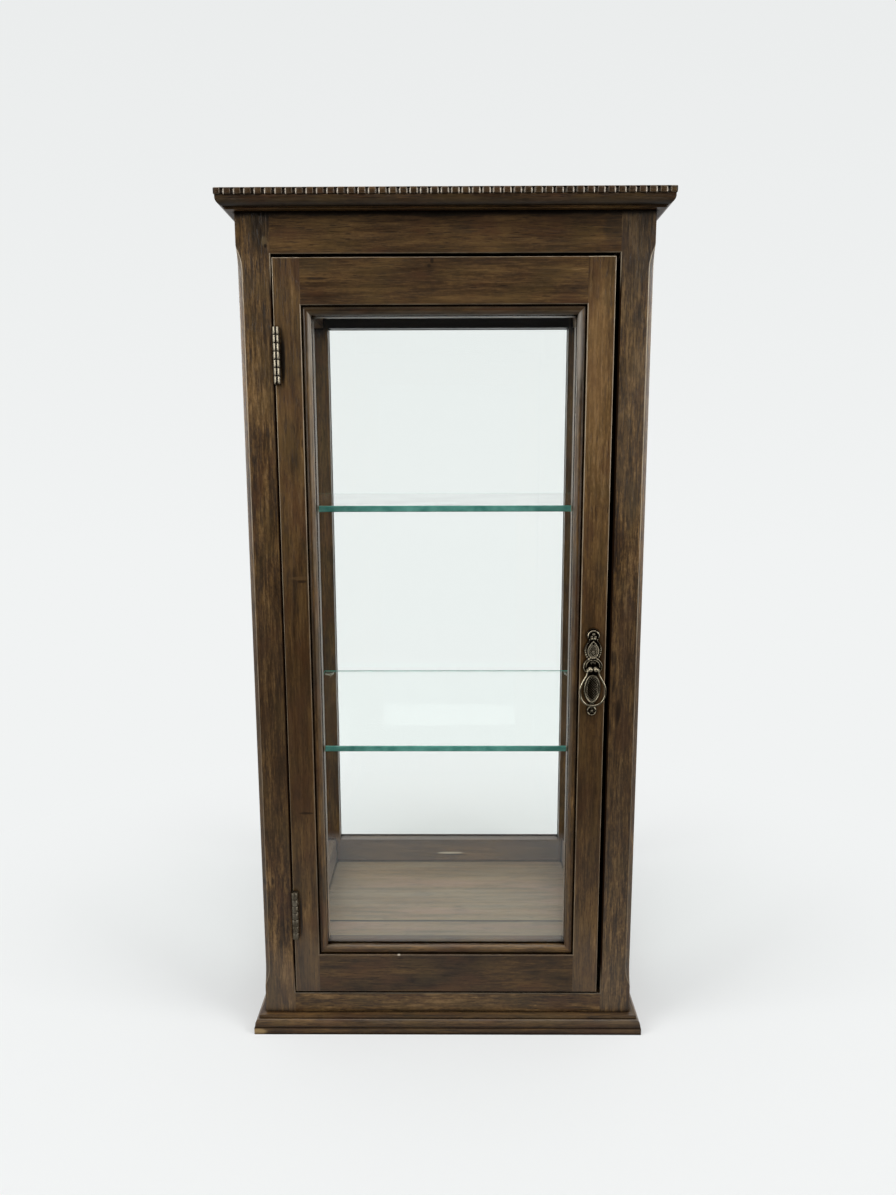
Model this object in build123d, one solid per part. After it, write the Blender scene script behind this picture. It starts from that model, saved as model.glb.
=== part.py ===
"""Glazed wooden display case for small collectables, with a hinged glass door and two glass shelves.

Millimetres. The origin is on the ground under the middle of the case; +X is to the right,
the door is on the -Y side and +Z is up. Four corner posts carry mortised rails, glazed sides and
a glazed back. The door is inset, hung on two rolled butt hinges at its left edge.
"""
import os
from math import acos, atan2, cos, degrees, hypot, pi, radians, sin, sqrt

from build123d import *

# ------------------------------------------------------------------ driving sizes
# Case
BODY_W = 282.0            # width over the posts
BODY_D = 282.0            # depth over the posts
CASE_H = 614.0            # height to the top of the crown
POST_W = 23.0             # post width seen from the front
FRAME_T = 19.0            # thickness of the posts and rails
FRONT_TOP_RAIL_H = 27.0   # height of the rail over the door
FRONT_BOTTOM_RAIL_H = 29.8
BACK_TOP_RAIL_H = 36.8    # height of the top rails at the back and sides
BACK_BOTTOM_RAIL_H = 33.0
TENON_T = 8.0             # thickness of the rails' tenons
TENON_L = 9.0             # length of the rails' tenons
TENON_SHOULDER = 5.0      # wood left over and under a tenon in a top rail
TENON_LAND = 2.0          # wood left between a bottom tenon and the rebates
EASE = 0.7                # rounding of the handled edges

# Stopped chamfer on the outer corners of the front posts
CHAMFER = 3.8             # leg of the chamfer
CHAMFER_STOP_R = 45.0     # radius of the run-out at each end
CHAMFER_INSET = 22.5      # plain post left above and below it

# Crown: a top board edged with a cornice moulding and a strip of small blocks
CROWN_H = 12.2
CROWN_OUT = 11.0          # how far the crown stands out from the posts
CORNICE_FILLET_OUT = 5.2
CORNICE_FILLET_H = 1.0
CORNICE_OVOLO_R = 4.6
CORNICE_OVOLO_TURN = 84.0 # degrees the ovolo turns under
CORNICE_WALL_H = 1.7      # upright part between the ovolo and the blocks
DENTIL_H = 4.3
DENTIL_T = 3.6
DENTIL_PROUD = 0.8        # how far the strip stands out from the ovolo under it
DENTIL_PITCH = 6.6
DENTIL_GAP = 1.3
DENTIL_GAP_DEPTH = 1.2
DENTIL_EASE = 0.7

# Base moulding
BASE_H = 14.0
BASE_OUT = 8.0
BASE_PLINTH_H = 5.2
BASE_OVOLO_R = 4.2
BASE_OVOLO_TURN = 60.0    # degrees the ovolo turns in
BASE_QUIRK = 0.6          # how far the ovolo is set back from the plinth
BASE_FILLET_OUT = 4.4
BASE_FILLET_H = 2.8

# Floor
FLOOR_TOP = 8.0
FLOOR_T = 6.0
FLOOR_LAP = 6.0           # how far the floor is let into the rails
FLOOR_JOINT = 0.3         # shrinkage gap between the two boards
FLOOR_JOINT_BACK = 2.0    # how far that joint lies behind mid-depth

# Glazing, the same in the door, the sides and the back
GLASS_T = 3.0
GLASS_CLEAR = 0.8         # room round a pane in its rebate
BEAD_W = 6.3
BEAD_T = 4.6
BEAD_SET = 1.4            # how far the bead's crest lies under the frame's face
BEAD_QUIRK_W = 0.9        # groove between the bead and the frame
BEAD_QUIRK_D = 1.3
BEAD_EDGE = 0.7           # upright edge of the bead at the glass
BEAD_CREST = 1.7          # from the groove to the bead's highest line
BEAD_DIP = 0.6            # how far the bead's face drops from there to the groove

# Door
DOOR_T = 18.0
DOOR_STILE = 18.7         # width of the stiles in front of the glass
DOOR_RAIL = 31.0          # height of the rails in front of the glass
GAP_HINGE = 0.8
GAP_FREE = 2.8
GAP_TOP = 2.1
GAP_BOTTOM = 1.1
DOOR_TENON_T = 6.0
DOOR_TENON_H = 20.0
DOOR_TENON_END = 9.0      # wood between the tenon's end and the door's edge

# Flats on small round pieces, which are many and mostly hidden
SMALL_SIDES = 8
BARREL_SIDES = 12
WIRE_SIDES = 10
OVAL_SIDES = 24
NEAR = 0.01               # tolerance when an edge is looked up by its place

# Shelves and their supports
SHELF_T = 4.5
SHELF_UPPER_Z = 400.2     # underside of the upper shelf
SHELF_LOWER_Z = 217.4     # underside of the lower shelf
SHELF_END_GAP = 4.0       # from the shelf to the posts in front and behind
SHELF_SIDE_GAP = 3.0      # from the shelf to the side glass
SHELF_ARRIS = 0.5         # ground edge of the shelf glass
SUPPORT_IN = 5.5          # from the post's inner edge to the support's middle
SUPPORT_PIN_R = 2.5
SUPPORT_PIN_L = 8.0
SUPPORT_COLLAR_R = 3.5
SUPPORT_COLLAR_T = 1.2
SUPPORT_TONGUE_W = 8.0
SUPPORT_TONGUE_T = 1.6
SUPPORT_TONGUE_L = 14.0

# Hinges
HINGE_L = 38.0
HINGE_INSET = 64.5        # from the door's end to the hinge's middle
HINGE_KNUCKLES = 7
HINGE_KNUCKLE_GAP = 0.3
HINGE_BARREL_R = 2.4
HINGE_PIN_R = 1.0
HINGE_PIN_CLEAR = 0.06
HINGE_LEAF_T = 1.0
HINGE_LEAF_IN = 15.0      # how far the leaves reach behind the case's face
HINGE_PROUD = 1.5         # pin axis in front of the case's face
HINGE_CLEAR = 0.3
SCREW_HEAD_R = 2.0
SCREW_R = 1.0
SCREW_L = 10.0
SCREW_SPACING = 21.0

# Magnetic catch behind the door's top rail
CATCH_FROM_EDGE = 45.0    # from the door's free edge to the catch's middle
CATCH_W = 38.0
CATCH_D = 11.0
CATCH_ABOVE = 13.0        # height of the housing over the rail's underside
CATCH_BELOW = 13.0
CATCH_GAP = 0.3           # air between magnet and strike
MAGNET_W = 22.0
MAGNET_D = 7.0
MAGNET_H = 8.0
MAGNET_INSET = 1.6        # from the door's top edge down to the magnet
CATCH_SCREW_SPACING = 24.0
CATCH_SCREW_L = 19.0
STRIKE_W = 24.0
STRIKE_H = 10.0
STRIKE_T = 0.7
STRIKE_SCREW_L = 9.0

# Drop handle on the door's right stile
HANDLE_DROP = 13.8        # from the door's mid-height down to the bail's pivot
PLATE_T = 1.6
# Ovals of the backplate: height from the pivot, half width, half height
PLATE_CREST = (25.0, 4.8, 4.6)
PLATE_MEDALLION = (14.5, 6.3, 9.0)
PLATE_SHOULDERS = (1.8, 7.1, 6.6)
PLATE_LOWER = (-14.8, 6.2, 10.8)
PLATE_NECK = (-26.5, 3.0, 5.0)   # height from the pivot, width, height
PLATE_FOOT = (-31.2, 3.7)        # height from the pivot, radius
RIM_INSET = 1.0           # from the lower oval's edge to its raised rim
RIM_W = 1.0
RIM_H = 0.7
PIVOT_OUT = 2.6           # pivot axis in front of the backplate
BALL_R = 1.7
BALL_SPACING = 3.8
STEM_R = 1.2
WIRE_R = 0.8
WIRE_CLEAR = 0.06
BAIL_DROP = 26.9          # pivot to the lowest point of the ring's centre line
BAIL_R = 9.0              # round bottom of the ring
BAIL_ARM_GAP = 0.3
BAIL_BEND_R = 1.5
BAIL_PIN_SHORT = 0.4      # how far the pin stays inside its ball
BOSS_R = 2.5
BOSS_L = 5.0
HANDLE_SCREW_R = 1.5
HANDLE_SCREW_HEAD_R = 3.0
HANDLE_SCREW_HEAD_T = 1.8
HANDLE_SCREW_SHORT = 1.0  # from the backplate to the screw's end

# ------------------------------------------------------------------ derived places
HALF_W = BODY_W / 2
FRONT = -(BODY_D - CROWN_OUT) / 2          # face of the front posts
BACK = FRONT + BODY_D
OPEN_X = HALF_W - POST_W                   # half the width between the posts
FRONT_IN = FRONT + FRAME_T                 # rear face of the front posts
BACK_IN = BACK - FRAME_T                   # front face of the back posts
TOP = CASE_H - CROWN_H                     # underside of the top board
DOORWAY_BOTTOM = FRONT_BOTTOM_RAIL_H
DOORWAY_TOP = TOP - FRONT_TOP_RAIL_H
PANE_BOTTOM = BACK_BOTTOM_RAIL_H           # clear opening in the sides and back
PANE_TOP = TOP - BACK_TOP_RAIL_H
REBATE = BEAD_SET + BEAD_T + GLASS_T       # depth of every glazing rebate
GLASS_X = HALF_W - REBATE                  # inner face of the side glass
FLOOR_X = HALF_W - FRAME_T + FLOOR_LAP

DOOR_L = -OPEN_X + GAP_HINGE
DOOR_R = OPEN_X - GAP_FREE
DOOR_B = DOORWAY_BOTTOM + GAP_BOTTOM
DOOR_TOP = DOORWAY_TOP - GAP_TOP
DOOR_REAR = FRONT + DOOR_T

HINGE_X = -OPEN_X + HINGE_BARREL_R
HINGE_Y = FRONT - HINGE_PROUD
HINGE_ZS = {"upper": DOOR_TOP - HINGE_INSET, "lower": DOOR_B + HINGE_INSET}
HINGE_SCREW_Y = (FRONT + FRONT + HINGE_LEAF_IN) / 2 + HINGE_CLEAR

CATCH_X = DOOR_R - CATCH_FROM_EDGE
MAGNET_Z = DOOR_TOP - MAGNET_INSET - MAGNET_H / 2
CATCH_SCREW_Z = DOORWAY_TOP + CATCH_ABOVE / 2
HANDLE_X = DOOR_R - DOOR_STILE / 2
HANDLE_Z = (DOOR_B + DOOR_TOP) / 2 - HANDLE_DROP
PLATE_FACE = FRONT - PLATE_T
PIVOT_Y = PLATE_FACE - PIVOT_OUT


# ------------------------------------------------------------------ small helpers
def block(x0, x1, y0, y1, z0, z1):
    """A box between two planes on each axis, in either order."""
    size = (abs(x1 - x0), abs(y1 - y0), abs(z1 - z0))
    return Pos((x0 + x1) / 2, (y0 + y1) / 2, (z0 + z1) / 2) * Box(*size)


def plan_prism(points, z0, z1):
    """An upright prism over a closed outline in plan."""
    return extrude(Pos(0, 0, z0) * make_face(Polyline(*points, close=True)), z1 - z0)


def mirrored(shape):
    """The same shape on the other side of the case's middle plane."""
    return mirror(shape, about=Plane.YZ)


def rod(start, direction, radius, length):
    """A round bar from a point along a direction."""
    return Plane(origin=start, z_dir=direction).location * Cylinder(
        radius, length, align=(Align.CENTER, Align.CENTER, Align.MIN))


def flat_sided(start, direction, radius, length, sides, across_flats=False):
    """A bar with flats in place of a round one; radius is to the corners, or to the flats if so asked."""
    turn = Rot(0, 0, 180 / sides)
    outline = turn * RegularPolygon(radius, sides, major_radius=not across_flats)
    return extrude(Plane(origin=start, z_dir=direction) * outline, length)


def screw(point, direction, length, head_depth=HINGE_LEAF_T):
    """A countersunk screw whose flat head lies at the point and whose shank runs along direction."""
    place = Plane(origin=point, z_dir=direction).location
    flats = cos(pi / SMALL_SIDES)
    slope = degrees(atan2((SCREW_HEAD_R - SCREW_R) * flats, head_depth))
    head = extrude(RegularPolygon(SCREW_HEAD_R, SMALL_SIDES), head_depth, taper=slope)
    shank = extrude(RegularPolygon(SCREW_R, SMALL_SIDES), length)
    return place * (head + shank)


def edges_at(shape, axis, place):
    """The edges that lie in the plane square to an axis at that place."""
    return shape.edges().filter_by_position(axis, place - NEAR, place + NEAR)


def group(shapes):
    """Several separate solids in one node."""
    return Compound([solid for shape in shapes for solid in shape.solids()])


# ------------------------------------------------------------------ mouldings
def moulding_runs(profile, out):
    """Front, left and right runs of a moulding, mitred at the front corners, square at the back.

    The profile is a face in (out, up) with its origin at the foot of the case's wall.
    """
    tall = profile.bounding_box().max.Y
    low = profile.bounding_box().min.Y
    front = extrude(Plane(origin=(HALF_W + out, FRONT, 0), x_dir=(0, -1, 0), z_dir=(-1, 0, 0)) * profile,
                    BODY_W + 2 * out)
    left = extrude(Plane(origin=(-HALF_W, FRONT - out, 0), x_dir=(-1, 0, 0), z_dir=(0, 1, 0)) * profile,
                   BODY_D + out)
    wide = HALF_W + out
    front_plan = [(-HALF_W, FRONT), (-wide, FRONT - out), (wide, FRONT - out), (HALF_W, FRONT)]
    left_plan = [(-HALF_W, FRONT), (-wide, FRONT - out), (-wide, BACK), (-HALF_W, BACK)]
    front = front & plan_prism(front_plan, low, tall)
    left = left & plan_prism(left_plan, low, tall)
    return {"front": front, "left": left, "right": mirrored(left)}


def cornice_profile():
    """Fillet, quirk and ovolo, with a seat at the top for the block strip."""
    ovolo_out = CROWN_OUT - DENTIL_PROUD
    centre = (ovolo_out - CORNICE_OVOLO_R, CROWN_H - DENTIL_H - CORNICE_WALL_H)
    start = radians(-CORNICE_OVOLO_TURN)
    half = start / 2
    foot = (centre[0] + CORNICE_OVOLO_R * cos(start), centre[1] + CORNICE_OVOLO_R * sin(start))
    belly = (centre[0] + CORNICE_OVOLO_R * cos(half), centre[1] + CORNICE_OVOLO_R * sin(half))
    seat = CROWN_OUT - DENTIL_T
    edges = [
        Polyline((0, 0), (CORNICE_FILLET_OUT, 0), (CORNICE_FILLET_OUT, CORNICE_FILLET_H),
                 (foot[0], CORNICE_FILLET_H), foot),
        ThreePointArc(foot, belly, (ovolo_out, centre[1])),
        Polyline((ovolo_out, centre[1]), (ovolo_out, CROWN_H - DENTIL_H), (seat, CROWN_H - DENTIL_H),
                 (seat, CROWN_H), (0, CROWN_H), (0, 0)),
    ]
    return Pos(0, TOP) * make_face(edges)


def base_profile():
    """Plinth, ovolo, quirk and top fillet."""
    turn = radians(BASE_OVOLO_TURN)
    centre = (BASE_OUT - BASE_QUIRK - BASE_OVOLO_R, BASE_H - BASE_FILLET_H - BASE_OVOLO_R * sin(turn))
    crown = (centre[0] + BASE_OVOLO_R * cos(turn), BASE_H - BASE_FILLET_H)
    belly = (centre[0] + BASE_OVOLO_R * cos(turn / 2), centre[1] + BASE_OVOLO_R * sin(turn / 2))
    foot = (centre[0] + BASE_OVOLO_R, centre[1])
    edges = [
        Polyline((0, 0), (BASE_OUT, 0), (BASE_OUT, BASE_PLINTH_H), (foot[0], BASE_PLINTH_H), foot),
        ThreePointArc(foot, belly, crown),
        Polyline(crown, (BASE_FILLET_OUT, BASE_H - BASE_FILLET_H), (BASE_FILLET_OUT, BASE_H),
                 (0, BASE_H), (0, 0)),
    ]
    return make_face(edges)


def dentil_strips():
    """Strips of small blocks: the grooves are cut across the finished, mitred strips."""
    seat = CROWN_OUT - DENTIL_T
    ease = DENTIL_EASE
    section = make_face(Polyline((seat, 0), (CROWN_OUT, 0), (CROWN_OUT, DENTIL_H - ease),
                                 (CROWN_OUT - ease, DENTIL_H), (seat, DENTIL_H), close=True))
    strips = moulding_runs(Pos(0, CASE_H - DENTIL_H) * section, CROWN_OUT)
    floor = CROWN_OUT - DENTIL_GAP_DEPTH
    past = CROWN_OUT + DENTIL_GAP_DEPTH
    span_z = (CASE_H - DENTIL_H, CASE_H)

    def comb(span, along_x):
        """Cutters for one strip, centred on its length."""
        count = int(span / DENTIL_PITCH) - 1
        cutters = []
        for index in range(count):
            middle = (index - (count - 1) / 2) * DENTIL_PITCH
            a, b = middle - DENTIL_GAP / 2, middle + DENTIL_GAP / 2
            if along_x:
                cutters.append(block(a, b, FRONT - floor, FRONT - past, *span_z))
            else:
                a, b = a + (FRONT - CROWN_OUT + BACK) / 2, b + (FRONT - CROWN_OUT + BACK) / 2
                cutters.append(block(-HALF_W - floor, -HALF_W - past, a, b, *span_z))
        return cutters

    front = strips["front"] - comb(BODY_W + 2 * CROWN_OUT - 2 * DENTIL_GAP, True)
    left = strips["left"] - comb(BODY_D + CROWN_OUT - 2 * DENTIL_GAP, False)
    return {"front": front, "left": left, "right": mirrored(left)}


# ------------------------------------------------------------------ carcase
def tenon_bars():
    """One bar through each pair of mortises; a rail takes it as its tenons and the posts as mortises."""
    spans = {
        "bottom": (FLOOR_TOP + TENON_LAND, PANE_BOTTOM - BEAD_W - TENON_LAND),
        "front_top": (DOORWAY_TOP + TENON_SHOULDER, TOP - TENON_SHOULDER),
        "top": (PANE_TOP + BEAD_W + TENON_SHOULDER, TOP - TENON_SHOULDER),
    }
    half = TENON_T / 2
    reach = OPEN_X + TENON_L
    front_y = (FRONT + FRONT_IN) / 2
    back_y = (BACK + BACK_IN) / 2
    side_x = HALF_W - FRAME_T / 2

    def across(y, span):
        return block(-reach, reach, y - half, y + half, *span)

    def along(span):
        return block(-side_x - half, -side_x + half, FRONT_IN - TENON_L, BACK_IN + TENON_L, *span)

    return {
        "front_top": across(front_y, spans["front_top"]),
        "front_bottom": across(front_y, spans["bottom"]),
        "back_top": across(back_y, spans["top"]),
        "back_bottom": across(back_y, spans["bottom"]),
        "left_top": along(spans["top"]),
        "left_bottom": along(spans["bottom"]),
    }


def chamfer_cutter():
    """Wedge that cuts the stopped chamfer on the left front post, with a round run-out at each end."""
    depth = CHAMFER / sqrt(2)
    run = sqrt(2 * CHAMFER_STOP_R * depth - depth ** 2)      # length of a run-out
    low = BASE_H + CHAMFER_INSET + run
    high = TOP - CHAMFER_INSET - run
    past = 2 * depth
    past_run = sqrt(2 * CHAMFER_STOP_R * past - past ** 2)
    turn = radians(45) * (past_run / CHAMFER_STOP_R) / 2
    bulge = CHAMFER_STOP_R * (1 - cos(turn))
    rise = CHAMFER_STOP_R * sin(turn)
    face = make_face([
        Line((0, low), (0, high)),
        ThreePointArc((0, high), (bulge, high + rise), (past, high + past_run)),
        Line((past, high + past_run), (past, low - past_run)),
        ThreePointArc((past, low - past_run), (bulge, low - rise), (0, low)),
    ])
    place = Plane(origin=(-HALF_W + CHAMFER / 2, FRONT + CHAMFER / 2, 0), x_dir=(-1, -1, 0), z_dir=(-1, 1, 0))
    return extrude(place * face, CHAMFER * 2, both=True)


def support_places():
    """Axis points of the left-hand shelf supports on the post faces, and the way each one points."""
    x = -OPEN_X - SUPPORT_IN
    places = []
    for level in (SHELF_UPPER_Z, SHELF_LOWER_Z):
        z = level - SUPPORT_PIN_R
        places.append(((x, FRONT_IN, z), 1))
        places.append(((x, BACK_IN, z), -1))
    return places


def posts(bars):
    """Left-hand posts, cut for the tenons, the side and back glass and the shelf supports."""
    glass_z = (PANE_BOTTOM - BEAD_W, PANE_TOP + BEAD_W)
    holes = [flat_sided(point, (0, -way, 0), SUPPORT_PIN_R, SUPPORT_PIN_L, SMALL_SIDES)
             for point, way in support_places()]
    mortises = list(bars.values())
    front = block(-HALF_W, -OPEN_X, FRONT, FRONT_IN, 0, TOP) & doorway_envelope()
    front -= chamfer_cutter()
    front -= block(-HALF_W, -GLASS_X, FRONT_IN - BEAD_W, FRONT_IN, *glass_z)
    front = front - mortises - holes
    back = block(-HALF_W, -OPEN_X, BACK_IN, BACK, 0, TOP)
    back -= block(-HALF_W, -GLASS_X, BACK_IN, BACK_IN + BEAD_W, *glass_z)
    back -= block(-OPEN_X - BEAD_W, -OPEN_X, BACK - REBATE, BACK, *glass_z)
    back = back - mortises - holes
    return front, back


def doorway_envelope():
    """The front frame's outline with the arrises of the doorway eased."""
    frame = block(-HALF_W, HALF_W, FRONT, FRONT_IN, 0, TOP)
    frame -= block(-OPEN_X, OPEN_X, FRONT, FRONT_IN, DOORWAY_BOTTOM, DOORWAY_TOP)
    inner = [edge for edge in edges_at(frame, Axis.Y, FRONT) if abs(edge.center().X) <= OPEN_X + NEAR
             and DOORWAY_BOTTOM - NEAR <= edge.center().Z <= DOORWAY_TOP + NEAR]
    return fillet(inner, EASE)


def rails(bars):
    """All rails with their tenons, glazing rebates and the floor rebate."""
    floor_front = block(-OPEN_X, OPEN_X, FRONT_IN - FLOOR_LAP, FRONT_IN, 0, FLOOR_TOP)
    floor_back = block(-OPEN_X, OPEN_X, BACK_IN, BACK_IN + FLOOR_LAP, 0, FLOOR_TOP)
    envelope = doorway_envelope()
    made = {}
    made["front_top_rail"] = ((block(-OPEN_X, OPEN_X, FRONT, FRONT_IN, DOORWAY_TOP, TOP) & envelope)
                              + bars["front_top"])
    made["front_bottom_rail"] = ((block(-OPEN_X, OPEN_X, FRONT, FRONT_IN, 0, DOORWAY_BOTTOM) & envelope)
                                 + bars["front_bottom"] - floor_front)
    rear = (BACK - REBATE, BACK)
    made["back_top_rail"] = (block(-OPEN_X, OPEN_X, BACK_IN, BACK, PANE_TOP, TOP)
                             - block(-OPEN_X, OPEN_X, *rear, PANE_TOP, PANE_TOP + BEAD_W) + bars["back_top"])
    made["back_bottom_rail"] = (block(-OPEN_X, OPEN_X, BACK_IN, BACK, 0, PANE_BOTTOM)
                                - block(-OPEN_X, OPEN_X, *rear, PANE_BOTTOM - BEAD_W, PANE_BOTTOM)
                                + bars["back_bottom"] - floor_back)
    inner = -HALF_W + FRAME_T
    side = (FRONT_IN, BACK_IN)
    top = (block(-HALF_W, inner, *side, PANE_TOP, TOP)
           - block(-HALF_W, -GLASS_X, *side, PANE_TOP, PANE_TOP + BEAD_W) + bars["left_top"])
    bottom = (block(-HALF_W, inner, *side, 0, PANE_BOTTOM)
              - block(-HALF_W, -GLASS_X, *side, PANE_BOTTOM - BEAD_W, PANE_BOTTOM)
              - block(-FLOOR_X, inner, *side, 0, FLOOR_TOP) + bars["left_bottom"])
    made["side_top_rail_left"] = top
    made["side_bottom_rail_left"] = bottom
    made["side_top_rail_right"] = mirrored(top)
    made["side_bottom_rail_right"] = mirrored(bottom)
    return made


def floor_boards():
    """Two boards let up into the rails and notched round the posts."""
    joint = (FRONT + BACK) / 2 + FLOOR_JOINT_BACK
    z0 = FLOOR_TOP - FLOOR_T
    post_corners = [block(side * OPEN_X, side * HALF_W, edge, edge + way * FLOOR_LAP, z0, FLOOR_TOP)
                    for side in (-1, 1) for edge, way in ((FRONT_IN, -1), (BACK_IN, 1))]
    half = FLOOR_JOINT / 2
    front = block(-FLOOR_X, FLOOR_X, FRONT_IN - FLOOR_LAP, joint - half, z0, FLOOR_TOP)
    rear = block(-FLOOR_X, FLOOR_X, joint + half, BACK_IN + FLOOR_LAP, z0, FLOOR_TOP)
    return front - post_corners, rear - post_corners


# ------------------------------------------------------------------ glazing
def bead_length(long, across):
    """The lower bead of a mitred ring `long` wide and `across` high, face up, centred on the origin."""
    crest = (BEAD_QUIRK_W + BEAD_CREST, 0)
    edges = [
        Polyline((0, -BEAD_T), (0, -BEAD_QUIRK_D), (BEAD_QUIRK_W, -BEAD_QUIRK_D), (BEAD_QUIRK_W, -BEAD_DIP)),
        ThreePointArc((BEAD_QUIRK_W, -BEAD_DIP), crest, (BEAD_W, BEAD_EDGE - BEAD_T)),
        Polyline((BEAD_W, BEAD_EDGE - BEAD_T), (BEAD_W, -BEAD_T), (0, -BEAD_T)),
    ]
    section = Plane(origin=(-long / 2, -across / 2, 0), x_dir=(0, 1, 0), z_dir=(1, 0, 0)) * make_face(edges)
    outline = [(-long / 2, -across / 2), (long / 2, -across / 2), (long / 2 - BEAD_W, -across / 2 + BEAD_W),
               (-long / 2 + BEAD_W, -across / 2 + BEAD_W)]
    return extrude(section, long) & plan_prism(outline, -BEAD_T, 0)


def glazing(place, wide, high):
    """A pane and its four mitred beads; the plane's normal points out of the case or the door."""
    spot = place.location
    beads = {
        "bottom": spot * bead_length(wide, high),
        "top": spot * Rot(0, 0, 180) * bead_length(wide, high),
        "right": spot * Rot(0, 0, 90) * bead_length(high, wide),
        "left": spot * Rot(0, 0, -90) * bead_length(high, wide),
    }
    pane = Pos(0, 0, -BEAD_T - GLASS_T / 2) * Box(wide - 2 * GLASS_CLEAR, high - 2 * GLASS_CLEAR, GLASS_T)
    return spot * pane, beads


# ------------------------------------------------------------------ door
def door_envelope():
    """The door's outline with a pocket to the glass, and the arrises of both eased."""
    slab = block(DOOR_L, DOOR_R, FRONT, DOOR_REAR, DOOR_B, DOOR_TOP)
    slab -= block(DOOR_L + DOOR_STILE, DOOR_R - DOOR_STILE, FRONT, FRONT + REBATE,
                  DOOR_B + DOOR_RAIL, DOOR_TOP - DOOR_RAIL)
    return fillet(edges_at(slab, Axis.Y, FRONT), EASE)


def door_frame():
    """Rebated stiles and rails: long shoulders in front of the rebate, short ones behind it."""
    envelope = door_envelope()
    seat = FRONT + REBATE
    lip = DOOR_STILE + BEAD_W
    inner_l, inner_r = DOOR_L + DOOR_STILE, DOOR_R - DOOR_STILE
    tenon_y = (FRONT + (DOOR_T - DOOR_TENON_T) / 2, FRONT + (DOOR_T + DOOR_TENON_T) / 2)
    tenon_x = (DOOR_L + DOOR_TENON_END, DOOR_R - DOOR_TENON_END)
    tenons = {}
    rail_made = {}
    for name, outer, way in (("top", DOOR_TOP, -1), ("bottom", DOOR_B, 1)):
        front = block(inner_l, inner_r, FRONT, seat, outer, outer + way * DOOR_RAIL)
        rear = block(DOOR_L + lip, DOOR_R - lip, seat, DOOR_REAR, outer, outer + way * (DOOR_RAIL + BEAD_W))
        start = outer + way * (DOOR_RAIL - DOOR_TENON_H) / 2
        tenons[name] = block(*tenon_x, *tenon_y, start, start + way * DOOR_TENON_H)
        rail_made[name] = ((front + rear) & envelope) + tenons[name]
    stiles = {}
    for name, outer, way in (("hinge", DOOR_L, 1), ("handle", DOOR_R, -1)):
        front = block(outer, outer + way * DOOR_STILE, FRONT, seat, DOOR_B, DOOR_TOP)
        rear = block(outer, outer + way * lip, seat, DOOR_REAR, DOOR_B, DOOR_TOP)
        stiles[name] = ((front + rear) & envelope) - list(tenons.values())
    return stiles, rail_made


# ------------------------------------------------------------------ hinges
def knuckle_spans(middle):
    """Heights of the knuckles from the bottom up."""
    tall = (HINGE_L - (HINGE_KNUCKLES - 1) * HINGE_KNUCKLE_GAP) / HINGE_KNUCKLES
    foot = middle - HINGE_L / 2
    return [(foot + i * (tall + HINGE_KNUCKLE_GAP), foot + i * (tall + HINGE_KNUCKLE_GAP) + tall)
            for i in range(HINGE_KNUCKLES)]


def hinge_screws(middle):
    """Two screws through each leaf: those into the post, then those into the door."""
    post_face = -OPEN_X + HINGE_LEAF_T
    door_face = HINGE_X + HINGE_BARREL_R - HINGE_LEAF_T
    heights = (middle - SCREW_SPACING / 2, middle + SCREW_SPACING / 2)
    in_post = [screw((post_face, HINGE_SCREW_Y, z), (-1, 0, 0), SCREW_L) for z in heights]
    in_door = [screw((door_face, HINGE_SCREW_Y, z), (1, 0, 0), SCREW_L) for z in heights]
    return in_post, in_door


def hinge(middle):
    """A rolled butt hinge: each leaf lies tangent to the barrel, so the closed leaves stand apart."""
    spans = knuckle_spans(middle)
    ends = (middle - HINGE_L / 2, middle + HINGE_L / 2)
    bore = flat_sided((HINGE_X, HINGE_Y, ends[0]), (0, 0, 1), HINGE_PIN_R + HINGE_PIN_CLEAR, HINGE_L,
                      BARREL_SIDES, True)
    plate_y = (HINGE_Y + HINGE_BARREL_R + HINGE_CLEAR, FRONT + HINGE_LEAF_IN)
    leaves = []
    screws = hinge_screws(middle)
    for side, own in ((-1, spans[0::2]), (1, spans[1::2])):
        outer = HINGE_X + side * HINGE_BARREL_R
        inner = outer - side * HINGE_LEAF_T
        leaf = block(outer, inner, *plate_y, *ends)
        for low, high in own:
            leaf += flat_sided((HINGE_X, HINGE_Y, low), (0, 0, 1), HINGE_BARREL_R, high - low,
                               BARREL_SIDES, True)
            leaf += block(outer, inner, HINGE_Y, plate_y[0], low, high)
        leaf -= bore
        leaf -= screws[0] if side < 0 else screws[1]
        leaves.append(leaf)
    pin = rod((HINGE_X, HINGE_Y, ends[0]), (0, 0, 1), HINGE_PIN_R, HINGE_L)
    return leaves[0], leaves[1], pin, screws


def hinge_mortise(middle):
    """Pocket in the door's edge that takes the whole folded hinge."""
    half = HINGE_L / 2 + HINGE_CLEAR
    return block(DOOR_L, HINGE_X + HINGE_BARREL_R, FRONT, FRONT + HINGE_LEAF_IN + HINGE_CLEAR,
                 middle - half, middle + half)


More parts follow.
